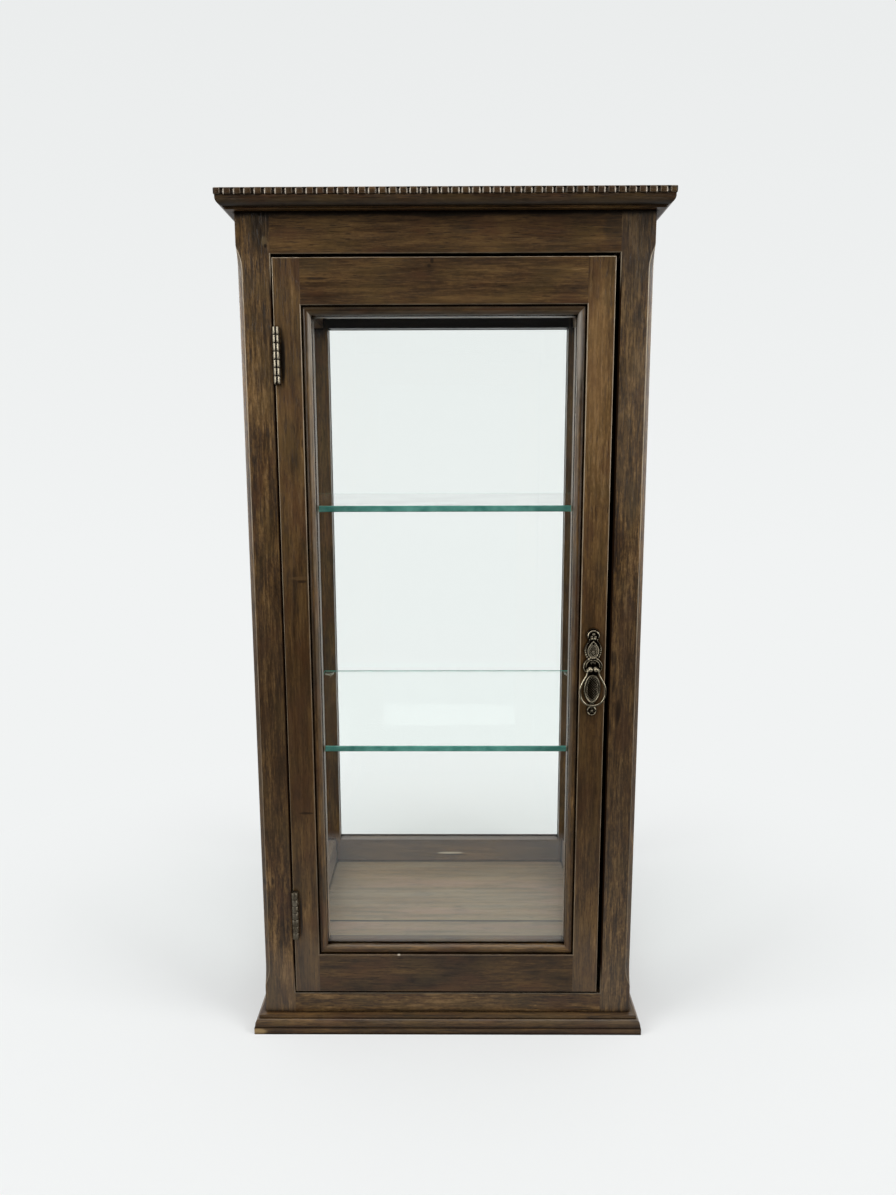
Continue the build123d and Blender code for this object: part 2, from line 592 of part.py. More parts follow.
# ------------------------------------------------------------------ catch
def catch():
    """Magnetic catch on the rear of the top rail and its strike on the rear of the door."""
    bottom = DOORWAY_TOP - CATCH_BELOW
    face = DOOR_REAR + STRIKE_T + CATCH_GAP
    housing = block(CATCH_X - CATCH_W / 2, CATCH_X + CATCH_W / 2, FRONT_IN, FRONT_IN + CATCH_D,
                    bottom, DOORWAY_TOP + CATCH_ABOVE)
    housing = chamfer(edges_at(housing, Axis.Y, FRONT_IN + CATCH_D), EASE)
    magnet = block(CATCH_X - MAGNET_W / 2, CATCH_X + MAGNET_W / 2, face, face + MAGNET_D,
                   MAGNET_Z - MAGNET_H / 2, MAGNET_Z + MAGNET_H / 2)
    screws = [screw((CATCH_X + side * CATCH_SCREW_SPACING / 2, FRONT_IN + CATCH_D, CATCH_SCREW_Z), (0, -1, 0),
                    CATCH_SCREW_L) for side in (-1, 1)]
    housing = housing - magnet - screws
    strike = block(CATCH_X - STRIKE_W / 2, CATCH_X + STRIKE_W / 2, DOOR_REAR, DOOR_REAR + STRIKE_T,
                   MAGNET_Z - STRIKE_H / 2, MAGNET_Z + STRIKE_H / 2)
    strike_screw = screw((CATCH_X, DOOR_REAR + STRIKE_T, MAGNET_Z), (0, -1, 0), STRIKE_SCREW_L, STRIKE_T)
    return housing, magnet, screws, strike - strike_screw, strike_screw


# ------------------------------------------------------------------ handle
def oval(sizes, inset=0.0):
    """One oval of the backplate, drawn smaller by an inset."""
    height, half_w, half_h = sizes
    points = []
    for index in range(OVAL_SIDES):
        turn = 2 * pi * index / OVAL_SIDES
        points.append(((half_w - inset) * cos(turn), height + (half_h - inset) * sin(turn)))
    return make_face(Polyline(*points, close=True))


def ball_lug(x):
    """A bead, nearly a ball, on the bail's axis: a short barrel with a taper at each end."""
    half = BALL_R * sin(radians(22.5))
    reach = BALL_R * cos(radians(22.5))
    barrel = flat_sided((x - half, PIVOT_Y, HANDLE_Z), (1, 0, 0), reach, 2 * half, BARREL_SIDES, True)
    slope = degrees(atan2(reach - half, reach - half))
    for way in (-1, 1):
        end = Plane(origin=(x + way * half, PIVOT_Y, HANDLE_Z), z_dir=(way, 0, 0))
        outline = Rot(0, 0, 180 / BARREL_SIDES) * RegularPolygon(reach, BARREL_SIDES, major_radius=False)
        barrel += end.location * extrude(outline, reach - half, taper=slope)
    return barrel


def handle_backplate():
    """A flat cast plate of joined ovals with a crest, a rosette foot and two ball lugs for the bail."""
    neck_z, neck_w, neck_h = PLATE_NECK
    foot_z, foot_r = PLATE_FOOT
    outline = oval(PLATE_CREST) + oval(PLATE_MEDALLION) + oval(PLATE_SHOULDERS) + oval(PLATE_LOWER)
    outline += Pos(0, neck_z) * Rectangle(neck_w, neck_h)
    outline += oval((foot_z, foot_r, foot_r))
    rear = Plane(origin=(HANDLE_X, FRONT, HANDLE_Z), x_dir=(1, 0, 0), z_dir=(0, -1, 0))
    plate = extrude(rear * outline, PLATE_T)
    ring = oval(PLATE_LOWER, RIM_INSET) - oval(PLATE_LOWER, RIM_INSET + RIM_W)
    plate += extrude(rear.offset(PLATE_T) * ring, RIM_H)
    plate += flat_sided((HANDLE_X, FRONT, HANDLE_Z), (0, 1, 0), BOSS_R, BOSS_L, BARREL_SIDES)
    for side in (-1, 1):
        x = HANDLE_X + side * BALL_SPACING / 2
        plate += flat_sided((x, PLATE_FACE, HANDLE_Z), (0, -1, 0), STEM_R, PIVOT_OUT, SMALL_SIDES)
        plate += ball_lug(x)
    eye = BALL_SPACING / 2 + 2 * BALL_R
    plate -= flat_sided((HANDLE_X - eye, PIVOT_Y, HANDLE_Z), (1, 0, 0), WIRE_R + WIRE_CLEAR, 2 * eye,
                        BARREL_SIDES, True)
    tapped = BOSS_L + PLATE_T - HANDLE_SCREW_SHORT
    plate -= flat_sided((HANDLE_X, FRONT + BOSS_L, HANDLE_Z), (0, -1, 0), HANDLE_SCREW_R, tapped, BARREL_SIDES)
    return plate


def bail_path():
    """Half of the teardrop ring's centre line, from the pin's inner end to its lowest point."""
    pin_end = BALL_SPACING / 2 - BALL_R + BAIL_PIN_SHORT
    corner = BALL_SPACING / 2 + BALL_R + BAIL_ARM_GAP + WIRE_R
    centre_z = BAIL_R - BAIL_DROP
    away = hypot(corner, -centre_z)
    touch = atan2(-centre_z, corner) - acos(BAIL_R / away)
    tangent = (BAIL_R * cos(touch), centre_z + BAIL_R * sin(touch))
    arm = FilletPolyline((pin_end, 0), (corner, 0), tangent, radius=BAIL_BEND_R)
    turn = (touch - radians(90)) / 2
    low_side = (BAIL_R * cos(turn), centre_z + BAIL_R * sin(turn))
    sweep_arc = ThreePointArc(tangent, low_side, (0, -BAIL_DROP))
    return arm, sweep_arc, pin_end


def handle_bail():
    """The drop ring: one bent wire whose turned-in ends sit in the balls."""
    front = Plane(origin=(HANDLE_X, PIVOT_Y, HANDLE_Z), x_dir=(1, 0, 0), z_dir=(0, -1, 0))
    arm, arc, pin_end = bail_path()
    path = front * Wire(arm.edges() + arc.edges())
    start = Plane(origin=(HANDLE_X + pin_end, PIVOT_Y, HANDLE_Z), z_dir=(1, 0, 0))
    half = sweep(start * RegularPolygon(WIRE_R, WIRE_SIDES), path=path)
    return half + mirror(half, about=Plane(origin=(HANDLE_X, 0, 0), z_dir=(1, 0, 0)))


def handle_screw():
    """Screw from inside the door into the backplate's boss."""
    tip = PLATE_FACE + HANDLE_SCREW_SHORT
    shank = flat_sided((HANDLE_X, tip, HANDLE_Z), (0, 1, 0), HANDLE_SCREW_R, DOOR_REAR - tip, BARREL_SIDES)
    head = flat_sided((HANDLE_X, DOOR_REAR, HANDLE_Z), (0, 1, 0), HANDLE_SCREW_HEAD_R, HANDLE_SCREW_HEAD_T,
                      BARREL_SIDES)
    head = chamfer(edges_at(head, Axis.Y, DOOR_REAR + HANDLE_SCREW_HEAD_T), EASE)
    return shank + head


def handle_holes():
    """Boss pocket and screw hole through the stile."""
    return [flat_sided((HANDLE_X, FRONT, HANDLE_Z), (0, 1, 0), BOSS_R, BOSS_L, BARREL_SIDES),
            flat_sided((HANDLE_X, FRONT, HANDLE_Z), (0, 1, 0), HANDLE_SCREW_R, DOOR_T, BARREL_SIDES)]


# ------------------------------------------------------------------ shelves
def shelf(level):
    x = GLASS_X - SHELF_SIDE_GAP
    pane = block(-x, x, FRONT_IN + SHELF_END_GAP, BACK_IN - SHELF_END_GAP, level, level + SHELF_T)
    return chamfer(pane.edges().filter_by(Axis.X) + pane.edges().filter_by(Axis.Y), SHELF_ARRIS)


def shelf_supports(level):
    """Four pins with flat tongues; each is pushed into a post and its tongue carries the shelf."""
    made = []
    x = -OPEN_X - SUPPORT_IN
    z = level - SUPPORT_PIN_R
    for face, way in ((FRONT_IN, 1), (BACK_IN, -1)):
        support = flat_sided((x, face, z), (0, -way, 0), SUPPORT_PIN_R, SUPPORT_PIN_L, SMALL_SIDES)
        support += flat_sided((x, face, z), (0, way, 0), SUPPORT_COLLAR_R, SUPPORT_COLLAR_T, SMALL_SIDES)
        support += block(x - SUPPORT_TONGUE_W / 2, x + SUPPORT_TONGUE_W / 2,
                         face, face + way * SUPPORT_TONGUE_L, level - SUPPORT_TONGUE_T, level)
        made += [support, mirrored(support)]
    return group(made)


# ------------------------------------------------------------------ assembly
def build_case():
    """Every node of the case, by name."""
    nodes = {}
    bars = tenon_bars()
    front_left, back_left = posts(bars)
    nodes["front_post_right"] = mirrored(front_left)
    nodes["back_post_left"] = back_left
    nodes["back_post_right"] = mirrored(back_left)
    nodes.update(rails(bars))
    nodes["floor_board_front"], nodes["floor_board_rear"] = floor_boards()
    nodes["top_board"] = block(-HALF_W, HALF_W, FRONT, BACK, TOP, CASE_H)
    mouldings = {
        "cornice": moulding_runs(cornice_profile(), CROWN_OUT),
        "dentil_strip": dentil_strips(),
        "base_moulding": moulding_runs(base_profile(), BASE_OUT),
    }
    for part, runs in mouldings.items():
        for side, solid in runs.items():
            nodes[f"{part}_{side}"] = solid

    pane_mid = (PANE_BOTTOM + PANE_TOP) / 2
    pane_high = PANE_TOP - PANE_BOTTOM + 2 * BEAD_W
    depth_mid = (FRONT + BACK) / 2
    side_wide = BACK_IN - FRONT_IN + 2 * BEAD_W
    out = HALF_W - BEAD_SET
    for side, sign in (("left", -1), ("right", 1)):
        place = Plane(origin=(sign * out, depth_mid, pane_mid), x_dir=(0, sign, 0), z_dir=(sign, 0, 0))
        pane, beads = glazing(place, side_wide, pane_high)
        nodes[f"side_glass_{side}"] = pane
        nodes[f"side_beads_{side}"] = group(beads.values())
    place = Plane(origin=(0, BACK - BEAD_SET, pane_mid), x_dir=(-1, 0, 0), z_dir=(0, 1, 0))
    nodes["back_glass"], beads = glazing(place, 2 * (OPEN_X + BEAD_W), pane_high)
    nodes["back_beads"] = group(beads.values())

    for name, level in (("upper", SHELF_UPPER_Z), ("lower", SHELF_LOWER_Z)):
        nodes[f"shelf_{name}"] = shelf(level)
        nodes[f"shelf_supports_{name}"] = shelf_supports(level)

    stiles, rail_made = door_frame()
    door_mid = ((DOOR_L + DOOR_R) / 2, FRONT + BEAD_SET, (DOOR_B + DOOR_TOP) / 2)
    place = Plane(origin=door_mid, x_dir=(1, 0, 0), z_dir=(0, -1, 0))
    pocket = (DOOR_R - DOOR_L - 2 * DOOR_STILE, DOOR_TOP - DOOR_B - 2 * DOOR_RAIL)
    nodes["door_glass"], beads = glazing(place, *pocket)
    for side, bead in beads.items():
        nodes[f"door_bead_{side}"] = bead

    post_screws, door_screws = [], []
    for name, middle in HINGE_ZS.items():
        post_leaf, door_leaf, pin, screws = hinge(middle)
        nodes[f"hinge_{name}_post_leaf"] = post_leaf
        nodes[f"hinge_{name}_door_leaf"] = door_leaf
        nodes[f"hinge_{name}_pin"] = pin
        post_screws += screws[0]
        door_screws += screws[1]
        stiles["hinge"] -= hinge_mortise(middle)
    nodes["hinge_screws_post"] = group(post_screws)
    nodes["hinge_screws_door"] = group(door_screws)
    nodes["front_post_left"] = front_left - post_screws
    stiles["hinge"] = stiles["hinge"] - door_screws

    housing, magnet, catch_screws, strike, strike_screw = catch()
    nodes["catch_housing"] = housing
    nodes["catch_magnet"] = magnet
    nodes["catch_screws"] = group(catch_screws)
    nodes["catch_strike"] = strike
    nodes["strike_screw"] = strike_screw
    nodes["front_top_rail"] = nodes["front_top_rail"] - catch_screws
    rail_made["top"] = rail_made["top"] - strike_screw

    nodes["handle_backplate"] = handle_backplate()
    nodes["handle_bail"] = handle_bail()
    nodes["handle_screw"] = handle_screw()
    nodes["door_stile_hinge"] = stiles["hinge"]
    nodes["door_stile_handle"] = stiles["handle"] - handle_holes()
    nodes["door_top_rail"] = rail_made["top"]
    nodes["door_bottom_rail"] = rail_made["bottom"]
    return nodes


os.makedirs("parts", exist_ok=True)
for node, shape in build_case().items():
    export_step(shape, f"parts/{node}.step")
    print(node, len(shape.solids()), round(shape.volume, 1))
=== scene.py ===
"""Finishes, fittings and studio of a glazed display case."""
import math
from functools import partial
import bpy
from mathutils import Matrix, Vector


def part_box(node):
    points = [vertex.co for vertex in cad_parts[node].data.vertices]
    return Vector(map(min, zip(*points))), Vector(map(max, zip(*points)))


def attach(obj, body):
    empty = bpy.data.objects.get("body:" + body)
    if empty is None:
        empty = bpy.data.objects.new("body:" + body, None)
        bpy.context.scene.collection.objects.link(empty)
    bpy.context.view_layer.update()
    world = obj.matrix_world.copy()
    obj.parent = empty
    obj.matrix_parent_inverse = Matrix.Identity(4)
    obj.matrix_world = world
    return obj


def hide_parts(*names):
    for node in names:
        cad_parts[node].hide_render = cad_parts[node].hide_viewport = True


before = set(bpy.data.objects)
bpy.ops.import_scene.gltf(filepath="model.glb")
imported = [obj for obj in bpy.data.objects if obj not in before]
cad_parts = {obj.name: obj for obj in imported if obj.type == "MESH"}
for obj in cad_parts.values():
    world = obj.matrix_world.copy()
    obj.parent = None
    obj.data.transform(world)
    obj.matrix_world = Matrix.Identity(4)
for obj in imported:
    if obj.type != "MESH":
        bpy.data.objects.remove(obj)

from types import SimpleNamespace

import bmesh
import bpy
import numpy as np
from bpy.props import FloatProperty, FloatVectorProperty, IntProperty, PointerProperty
from mathutils import Matrix, Vector

bl_info = {
    "name": "Glazed display case",
    "version": (1, 0, 0),
    "blender": (4, 5, 0),
    "location": "View3D > Sidebar > Display case",
    "description": "Wood, glass, hinges and drop handle of a glazed display case",
    "category": "Object",
}

MM = 0.001
CASE, DOOR, BAIL = "case", "door", "bail"
# Which setting holds a node's mode, and the kinds that come up most, each with its mode
MODES = {"Math": "operation", "VectorMath": "operation", "Mix": "data_type",
         "MapRange": "interpolation_type"}
PLUS, LESS, TIMES, LARGER = "Math ADD", "Math SUBTRACT", "Math MULTIPLY", "Math MAXIMUM"
RAMP, SMOOTH, BLEND = "MapRange LINEAR", "MapRange SMOOTHSTEP", "Mix RGBA"


# ---------------------------------------------------------------- small helpers
def linear(colour):
    """Linear red, green, blue and alpha of an sRGB colour such as "#4a3723"."""
    parts = [int(colour[i:i + 2], 16) / 255 for i in (1, 3, 5)]
    return tuple(c / 12.92 if c <= 0.04045 else ((c + 0.055) / 1.055) ** 2.4 for c in parts) + (1.0,)


def metres(*millimetres):
    return tuple(v * MM for v in millimetres)


def box_mm(node):
    """Lowest and highest corners of a CAD node, in millimetres."""
    low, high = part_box(node)
    return Vector(low) / MM, Vector(high) / MM


def middle_mm(node):
    low, high = box_mm(node)
    return (low + high) / 2


def add_node(tree, kind, *inputs, **settings):
    """Adds a node. A shader node's kind may leave out "ShaderNode" and may end in its mode. Each input is a
    value, or the socket or node that feeds it, in the order of the sockets; a dict says which sockets."""
    kind, _, mode = kind.partition(" ")
    node = tree.nodes.new(kind if "Node" in kind else "ShaderNode" + kind)
    if mode:
        settings[MODES[kind]] = mode
    for key, value in settings.items():
        setattr(node, key, value)
    fed = {}
    for number, value in enumerate(inputs):
        fed.update(value if isinstance(value, dict) else {number: value})
    for key, value in fed.items():
        if isinstance(value, bpy.types.Node):
            value = next(socket for socket in value.outputs if socket.enabled)
        if isinstance(value, bpy.types.NodeSocket):
            tree.links.new(value, node.inputs[key])
        else:
            node.inputs[key].default_value = value
    return node


def new_material(name):
    """An empty material, and the function that adds a node to it."""
    material = bpy.data.materials.new(name)
    material.use_nodes = True
    material.node_tree.nodes.clear()
    return material, partial(add_node, material.node_tree)


def dress(nodes, material):
    """Gives CAD nodes their finish."""
    for name in nodes:
        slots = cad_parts[name].data.materials
        slots.clear()
        slots.append(material)


def mesh_of(form):
    mesh = bpy.data.meshes.new("blank")
    form.to_mesh(mesh)
    form.free()
    return mesh


def closed_mesh(form, merge=0.0):
    """The mesh of a closed shell, its faces turned outwards; points closer than `merge` are made one."""
    if merge:
        bmesh.ops.remove_doubles(form, verts=form.verts, dist=merge)
    bmesh.ops.recalc_face_normals(form, faces=form.faces)
    return mesh_of(form)


def joined(*meshes):
    """One mesh made of several."""
    form = bmesh.new()
    for mesh in meshes:
        form.from_mesh(mesh)
    return mesh_of(form)


def linked(mesh):
    """A new object of the scene with this mesh or curve."""
    thing = bpy.data.objects.new("blank", mesh)
    bpy.context.scene.collection.objects.link(thing)
    return thing


def settled(thing):
    """The plain mesh that an object comes to with its modifiers, which goes with the object."""
    mesh = bpy.data.meshes.new_from_object(thing.evaluated_get(bpy.context.evaluated_depsgraph_get()))
    thing.modifiers.clear()
    bpy.data.objects.remove(thing)
    return mesh


def placed(mesh, spot, turn=0, axis="X"):
    """The same mesh, turned by degrees about an axis and then moved by millimetres."""
    mesh.transform(Matrix.Translation(metres(*spot)) @ Matrix.Rotation(math.radians(turn), 4, axis))
    return mesh


def piece(name, mesh, material, body, replaced, sharp=35):
    """Makes a finished mesh a piece that rides on a body and stands for a CAD node."""
    thing = linked(mesh)
    thing.name = mesh.name = name
    mesh.materials.clear()
    mesh.materials.append(material)
    mesh.polygons.foreach_set("material_index", [0] * len(mesh.polygons))
    # Broad flats keep their own normal; only the small faces of curves and eased edges blend
    mesh.polygons.foreach_set("use_smooth", [face.area < 20 * MM * MM for face in mesh.polygons])
    mesh.set_sharp_from_angle(angle=math.radians(sharp))
    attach(thing, body)
    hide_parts(replaced)


def arc(x, y, half_width, half_height, degrees):
    """Points on an oval about (x, y), at these angles."""
    return [(x + half_width * math.cos(math.radians(a)), y + half_height * math.sin(math.radians(a)))
            for a in degrees]


def circle(x, y, radius, count):
    return arc(x, y, radius, radius, [360 * i / count for i in range(count)])


def skin(form, rings, sides):
    """Faces from each ring of vertices to the next; a ring may be a single point."""
    for lower, upper in zip(rings, rings[1:]):
        for i in range(sides):
            j = (i + 1) % sides
            corners = dict.fromkeys((lower[i % len(lower)], lower[j % len(lower)],
                                     upper[j % len(upper)], upper[i % len(upper)]))
            if len(corners) > 2:
                form.faces.new(corners)


def lathe(profile, segments):
    """A solid of revolution round Z. Its profile is in (radius, height) millimetres and starts and ends on
    the axis."""
    form = bmesh.new()
    rings = []
    for radius, height in profile:
        spots = circle(0, 0, radius, segments) if radius > 0 else [(0, 0)]
        rings.append([form.verts.new(metres(x, y, height)) for x, y in spots])
    skin(form, rings, segments)
    return closed_mesh(form)


def through(points, steps):
    """A smooth line through points: Catmull-Rom, `steps` to each stretch."""
    ends = [points[0] + (points[0] - points[1])] + points + [points[-1] + (points[-1] - points[-2])]
    line = []
    for a, b, c, d in zip(ends, ends[1:], ends[2:], ends[3:]):
        for step in range(steps):
            t = step / steps
            line.append(0.5 * (2 * b + (c - a) * t + (2 * a - 5 * b + 4 * c - d) * t ** 2
                               + (3 * b - a - 3 * c + d) * t ** 3))
    return line + [points[-1]]


def wire(path, radii, sides):
    """A round wire with flat ends along a path in an XZ plane; millimetres."""
    form = bmesh.new()
    rings = []
    out = Vector((0, 1, 0))
    for index, (point, radius) in enumerate(zip(path, radii)):
        along = (path[min(index + 1, len(path) - 1)] - path[max(index - 1, 0)]).normalized()
        across = out.cross(along).normalized()
        rings.append([form.verts.new((point + a * across + b * out) * MM)
                      for a, b in circle(0, 0, radius, sides)])
    skin(form, rings, sides)
    form.faces.new(rings[0][::-1])
    form.faces.new(rings[-1])
    return closed_mesh(form)


def rounded_block(size, ease, segments):
    """A block centred on the origin with its edges rounded; millimetres."""
    form = bmesh.new()
    bmesh.ops.create_cube(form, size=1.0)
    bmesh.ops.scale(form, vec=Vector(size) * MM, verts=form.verts)
    bmesh.ops.bevel(form, geom=form.edges, offset=ease * MM, segments=segments, profile=0.5, affect="EDGES")
    return mesh_of(form)


# ---------------------------------------------------------------- Geometry Nodes tools
def tool_tree(name, inputs):
    """A Geometry Nodes tree with named inputs, the function that adds a node to it, and its inputs."""
    tree = bpy.data.node_groups.new(name, "GeometryNodeTree")
    sockets = tree.interface
    sockets.new_socket("Pattern", in_out="INPUT", socket_type="NodeSocketGeometry")
    for label, kind in inputs.items():
        sockets.new_socket(label, in_out="INPUT", socket_type="NodeSocket" + kind)
    sockets.new_socket("Result", in_out="OUTPUT", socket_type="NodeSocketGeometry")
    return tree, partial(add_node, tree), tree.nodes.new("NodeGroupInput").outputs


def close_tree(add, instances, material):
    real = add("GeometryNodeRealizeInstances", instances)
    add("NodeGroupOutput", add("GeometryNodeSetMaterial", {"Geometry": real, "Material": material}))


def rows_tree(name):
    """Repeats the pattern along a row and repeats the row. Every second row may be turned about Z, and
    each copy may be a little smaller than the pattern."""
    tree, add, given = tool_tree(name, {
        "Start": "Vector", "Count": "Int", "Step": "Vector", "Rows": "Int", "Row step": "Vector",
        "Turn": "Float", "Unevenness": "Float", "Seed": "Int", "Material": "Material"})
    row = add("GeometryNodeMeshLine", {"Count": given["Count"], "Offset": given["Step"]})
    rows = add("GeometryNodeMeshLine", {"Count": given["Rows"], "Start Location": given["Start"],
                                        "Offset": given["Row step"]})
    spread = add("GeometryNodeInstanceOnPoints", {"Points": rows, "Instance": row})
    points = add("GeometryNodeRealizeInstances", spread)
    which = add("Math FLOOR", add("Math DIVIDE", add("GeometryNodeInputIndex"), given["Count"]))
    turn = add("CombineXYZ", {"Z": add(TIMES, which, given["Turn"])})
    least = add(LESS, 1.0, given["Unevenness"])
    size = add("FunctionNodeRandomValue", least, (1.0, 1.0, 1.0), {"Seed": given["Seed"]},
               data_type="FLOAT_VECTOR")
    copies = add("GeometryNodeInstanceOnPoints", {"Points": points, "Instance": given["Pattern"],
                                                  "Rotation": turn, "Scale": size})
    close_tree(add, copies, given["Material"])
    return tree


def beading_tree(name):
    """Sets the pattern at equal steps round an upright oval."""
    tree, add, given = tool_tree(name, {"Centre": "Vector", "Half width": "Float", "Half height": "Float",
                                        "Count": "Int", "Material": "Material"})
    ring = add("GeometryNodeCurvePrimitiveCircle", {"Resolution": 96, "Radius": 1.0})
    scale = add("CombineXYZ", given["Half width"], given["Half height"], 1.0)
    oval = add("GeometryNodeTransform", {"Geometry": ring, "Scale": scale})
    upright = add("GeometryNodeTransform", {"Geometry": oval, "Translation": given["Centre"],
                                            "Rotation": (math.pi / 2, 0, 0)})
    stations = add("GeometryNodeResampleCurve", {"Curve": upright, "Count": given["Count"]})
    copies = add("GeometryNodeInstanceOnPoints", {"Points": stations, "Instance": given["Pattern"]})
    close_tree(add, copies, given["Material"])
    return tree


def worked(make_tree, pattern, values):
    """The mesh that a Geometry Nodes tool makes from a pattern."""
    name = make_tree.__name__
    tree = bpy.data.node_groups.get(name) or make_tree(name)
    holder = linked(pattern)
    tool = holder.modifiers.new("tool", "NODES")
    tool.node_group = tree
    for item in tree.interface.items_tree:
        if item.in_out == "INPUT" and item.name in values:
            tool[item.identifier] = values[item.name]
    return settled(holder)


def in_rows(pattern, material, start, count, step, rows=1, row_step=(0, 0, 0), turn=0.0, uneven=0.0,
            seed=1):
    """Copies of a pattern in rows; places and steps are in millimetres."""
    return worked(rows_tree, pattern, {
        "Start": metres(*start), "Count": count, "Step": metres(*step), "Rows": rows,
        "Row step": metres(*row_step), "Turn": turn, "Unevenness": uneven, "Seed": seed,
        "Material": material})


# ---------------------------------------------------------------- settings
def colour_property(name, description, colour):
    return FloatVectorProperty(name=name, description=description, subtype="COLOR", size=4, min=0, max=1,
                               default=linear(colour))


def length_property(name, description, millimetres):
    return number_property(name, description, millimetres * MM, unit="LENGTH")


def angle_property(name, description, degrees):
    return FloatProperty(name=name, description=description, subtype="ANGLE", default=math.radians(degrees))


def number_property(name, description, value, **limits):
    return FloatProperty(name=name, description=description, default=value, **{"min": 0, **limits})


class CaseWood(bpy.types.PropertyGroup):
    """Walnut-stained hardwood"""
    dark: colour_property("Dark grain", "Late wood and pores under the stain", "#21150a")
    middle: colour_property("Stain", "Body colour of the stained wood", "#4d3821")
    light: colour_property("Light grain", "Early wood under the stain", "#7b5c34")
    palest: colour_property("Palest grain", "Stain where it took least", "#97764b")
    reddish: colour_property("Reddish patches", "Where the stain took red", "#553721")
    yellowish: colour_property("Yellowish patches", "Where the stain took thin", "#5e4a28")
    # Pale colour of the arrises and chamfers: partly wear, partly a painted highlight
    worn: colour_property("Worn edge", "Wood where the stain has rubbed thin", "#c3b195")
    # Painted highlight on one flank of each dentil saw cut
    bare: colour_property("Missed wood", "Pale wood in the grooves that the stain missed", "#fff4e2")
    # Painted shade: the faces in the narrow gaps beside the door are painted this dark
    edge: colour_property("Door edges", "Dark stain on the faces that meet at the door", "#22160d")
    # Painted shade, laid in the corners and in the middle of each dentil saw cut
    grime: colour_property("Corners", "Polish gathered in the corners", "#0a0604")
    ring: length_property("Ring pitch", "Distance between growth rings across the grain", 7.0)
    band: length_property("Band width", "Width of the broad light and dark bands", 5.0)
    streak: length_property("Streak width", "Width of the streaks", 2.0)
    fibre: length_property("Fibre width", "Width of the fine fibres", 1.0)
    pore: length_property("Pore width", "Width of the open pores", 0.55)
    roughness: number_property("Roughness", "Satin varnish", 0.36, subtype="FACTOR", max=1)


class CaseGlass(bpy.types.PropertyGroup):
    """Clear float glass"""
    tint: colour_property("Tint", "Colour of the light that passes a pane", "#fcfefd")
    shelf: colour_property("Shelf tint", "Colour of the light that passes a shelf", "#f7faf9")
    edge: colour_property("Edge", "Colour of a ground edge", "#78bfb2")
    depth: colour_property("Deep edge", "Darker green in the depth of an edge", "#2e7f71")
    ior: number_property("IOR", "Refractive index of float glass", 1.5, min=1, max=2)


class CaseMetal(bpy.types.PropertyGroup):
    """Hinges and handle"""
    brass: colour_property("Brass", "Plated brass of the hinges where it is clean", "#918877")
    tarnish: colour_property("Tarnish", "Brown film on the hinges", "#4f4534")
    bronze: colour_property("Bronze", "Rubbed high parts of the handle", "#aba089")
    patina: colour_property("Patina", "Dark hollows of the handle", "#1f1911")
    steel: colour_property("Steel", "Zinc-plated steel", "#b9b9b4")
    nickel: colour_property("Nickel", "Nickel-plated steel of the shelf supports", "#d4cfc4")
    leaf: length_property("Leaf", "Thickness of a hinge leaf", 1.0)
    knuckles: IntProperty(name="Knuckles", description="Knuckles of each hinge", min=3, default=7)
    knuckle_gap: length_property("Knuckle gap", "Gap between two knuckles", 0.3)


class CaseStudio(bpy.types.PropertyGroup):
    """Camera, lamps and backdrop"""
    lens: number_property("Focal length", "Focal length on a 36 mm long side", 25.516, unit="CAMERA", min=1)
    distance: length_property("Distance", "From the camera to the case's face", 598.8)
    height: length_property("Height", "Camera height above the floor", 437.7)
    aside: length_property("Sideways", "Camera to the right of the middle", 5.4)
    pitch: angle_property("Pitch", "How far the camera looks down", 9.232)
    heading: angle_property("Heading", "How far the camera is turned left", 0.398)
    roll: angle_property("Roll", "Camera tilt to the right", 0.146)
    backdrop: colour_property("Backdrop", "White of the backdrop and floor", "#f1f3f3")
    paper: colour_property("Paper", "Colour of the floor round the case", "#ebecec")
    bounce: colour_property("Bounce", "Colour of the floor for the light it throws back up", "#b0b0b0")
    pane_gain: number_property("Through glass", "Backdrop's gain where three panes cover it", 1.235, min=1)
    world: number_property("World light", "Even light from all round", 0.55)
    windows: number_property("Windows", "Brightness of the side windows in reflections", 5.0)
    mirrored_floor: number_property("Mirrored floor", "Brightness of the floor in reflections", 0.40, max=1)
    lamp: number_property("Lamp", "Strength of the softboxes", 12.0, unit="POWER")


SETTINGS = {"case_wood": CaseWood, "case_glass": CaseGlass, "case_metal": CaseMetal,
            "case_studio": CaseStudio}


# ---------------------------------------------------------------- wood
def saw_cuts(add, place, axis, first, pitch, top):
    """Two shares along a row of saw cuts: a painted highlight on one flank of each, its right one in the left
    half of the row and its left one in the right half, and painted shade in its middle."""
    spots = add("SeparateXYZ", place).outputs
    along = spots[axis]
    from_first = add(TIMES, add(PLUS, along, -first * MM), 1 / MM)
    off = add("Math WRAP", from_first, pitch / 2, -pitch / 2)
    middle, rim, soft = 0.6, 1.4, 0.1

    def flank(way, along_row):
        inner = add(SMOOTH, off, way * (middle - soft), way * (middle + soft))
        outer = add(SMOOTH, off, way * (rim + soft), way * (rim - soft))
        return add(TIMES, add(TIMES, inner, outer), add(SMOOTH, along, *along_row))

    flanks = add(PLUS, flank(1, (-0.04, 0.13, 1.0, 0.12)), flank(-1, (-0.10, 0.03, 0.05, 0.95)))
    lit_flank = add(TIMES, flanks, add(SMOOTH, spots["Z"], (top - 0.55) * MM, (top - 0.75) * MM))
    shaded_middle = add(TIMES, *(add(SMOOTH, off, way * (middle + soft), way * (middle - soft)) for way in (-1, 1)))
    return lit_flank, shaded_middle


def offset(add, place, centre, stretch):
    """The way from a centre to each point, each axis stretched."""
    return add("VectorMath MULTIPLY", add("VectorMath SUBTRACT", place, metres(*centre)), stretch)


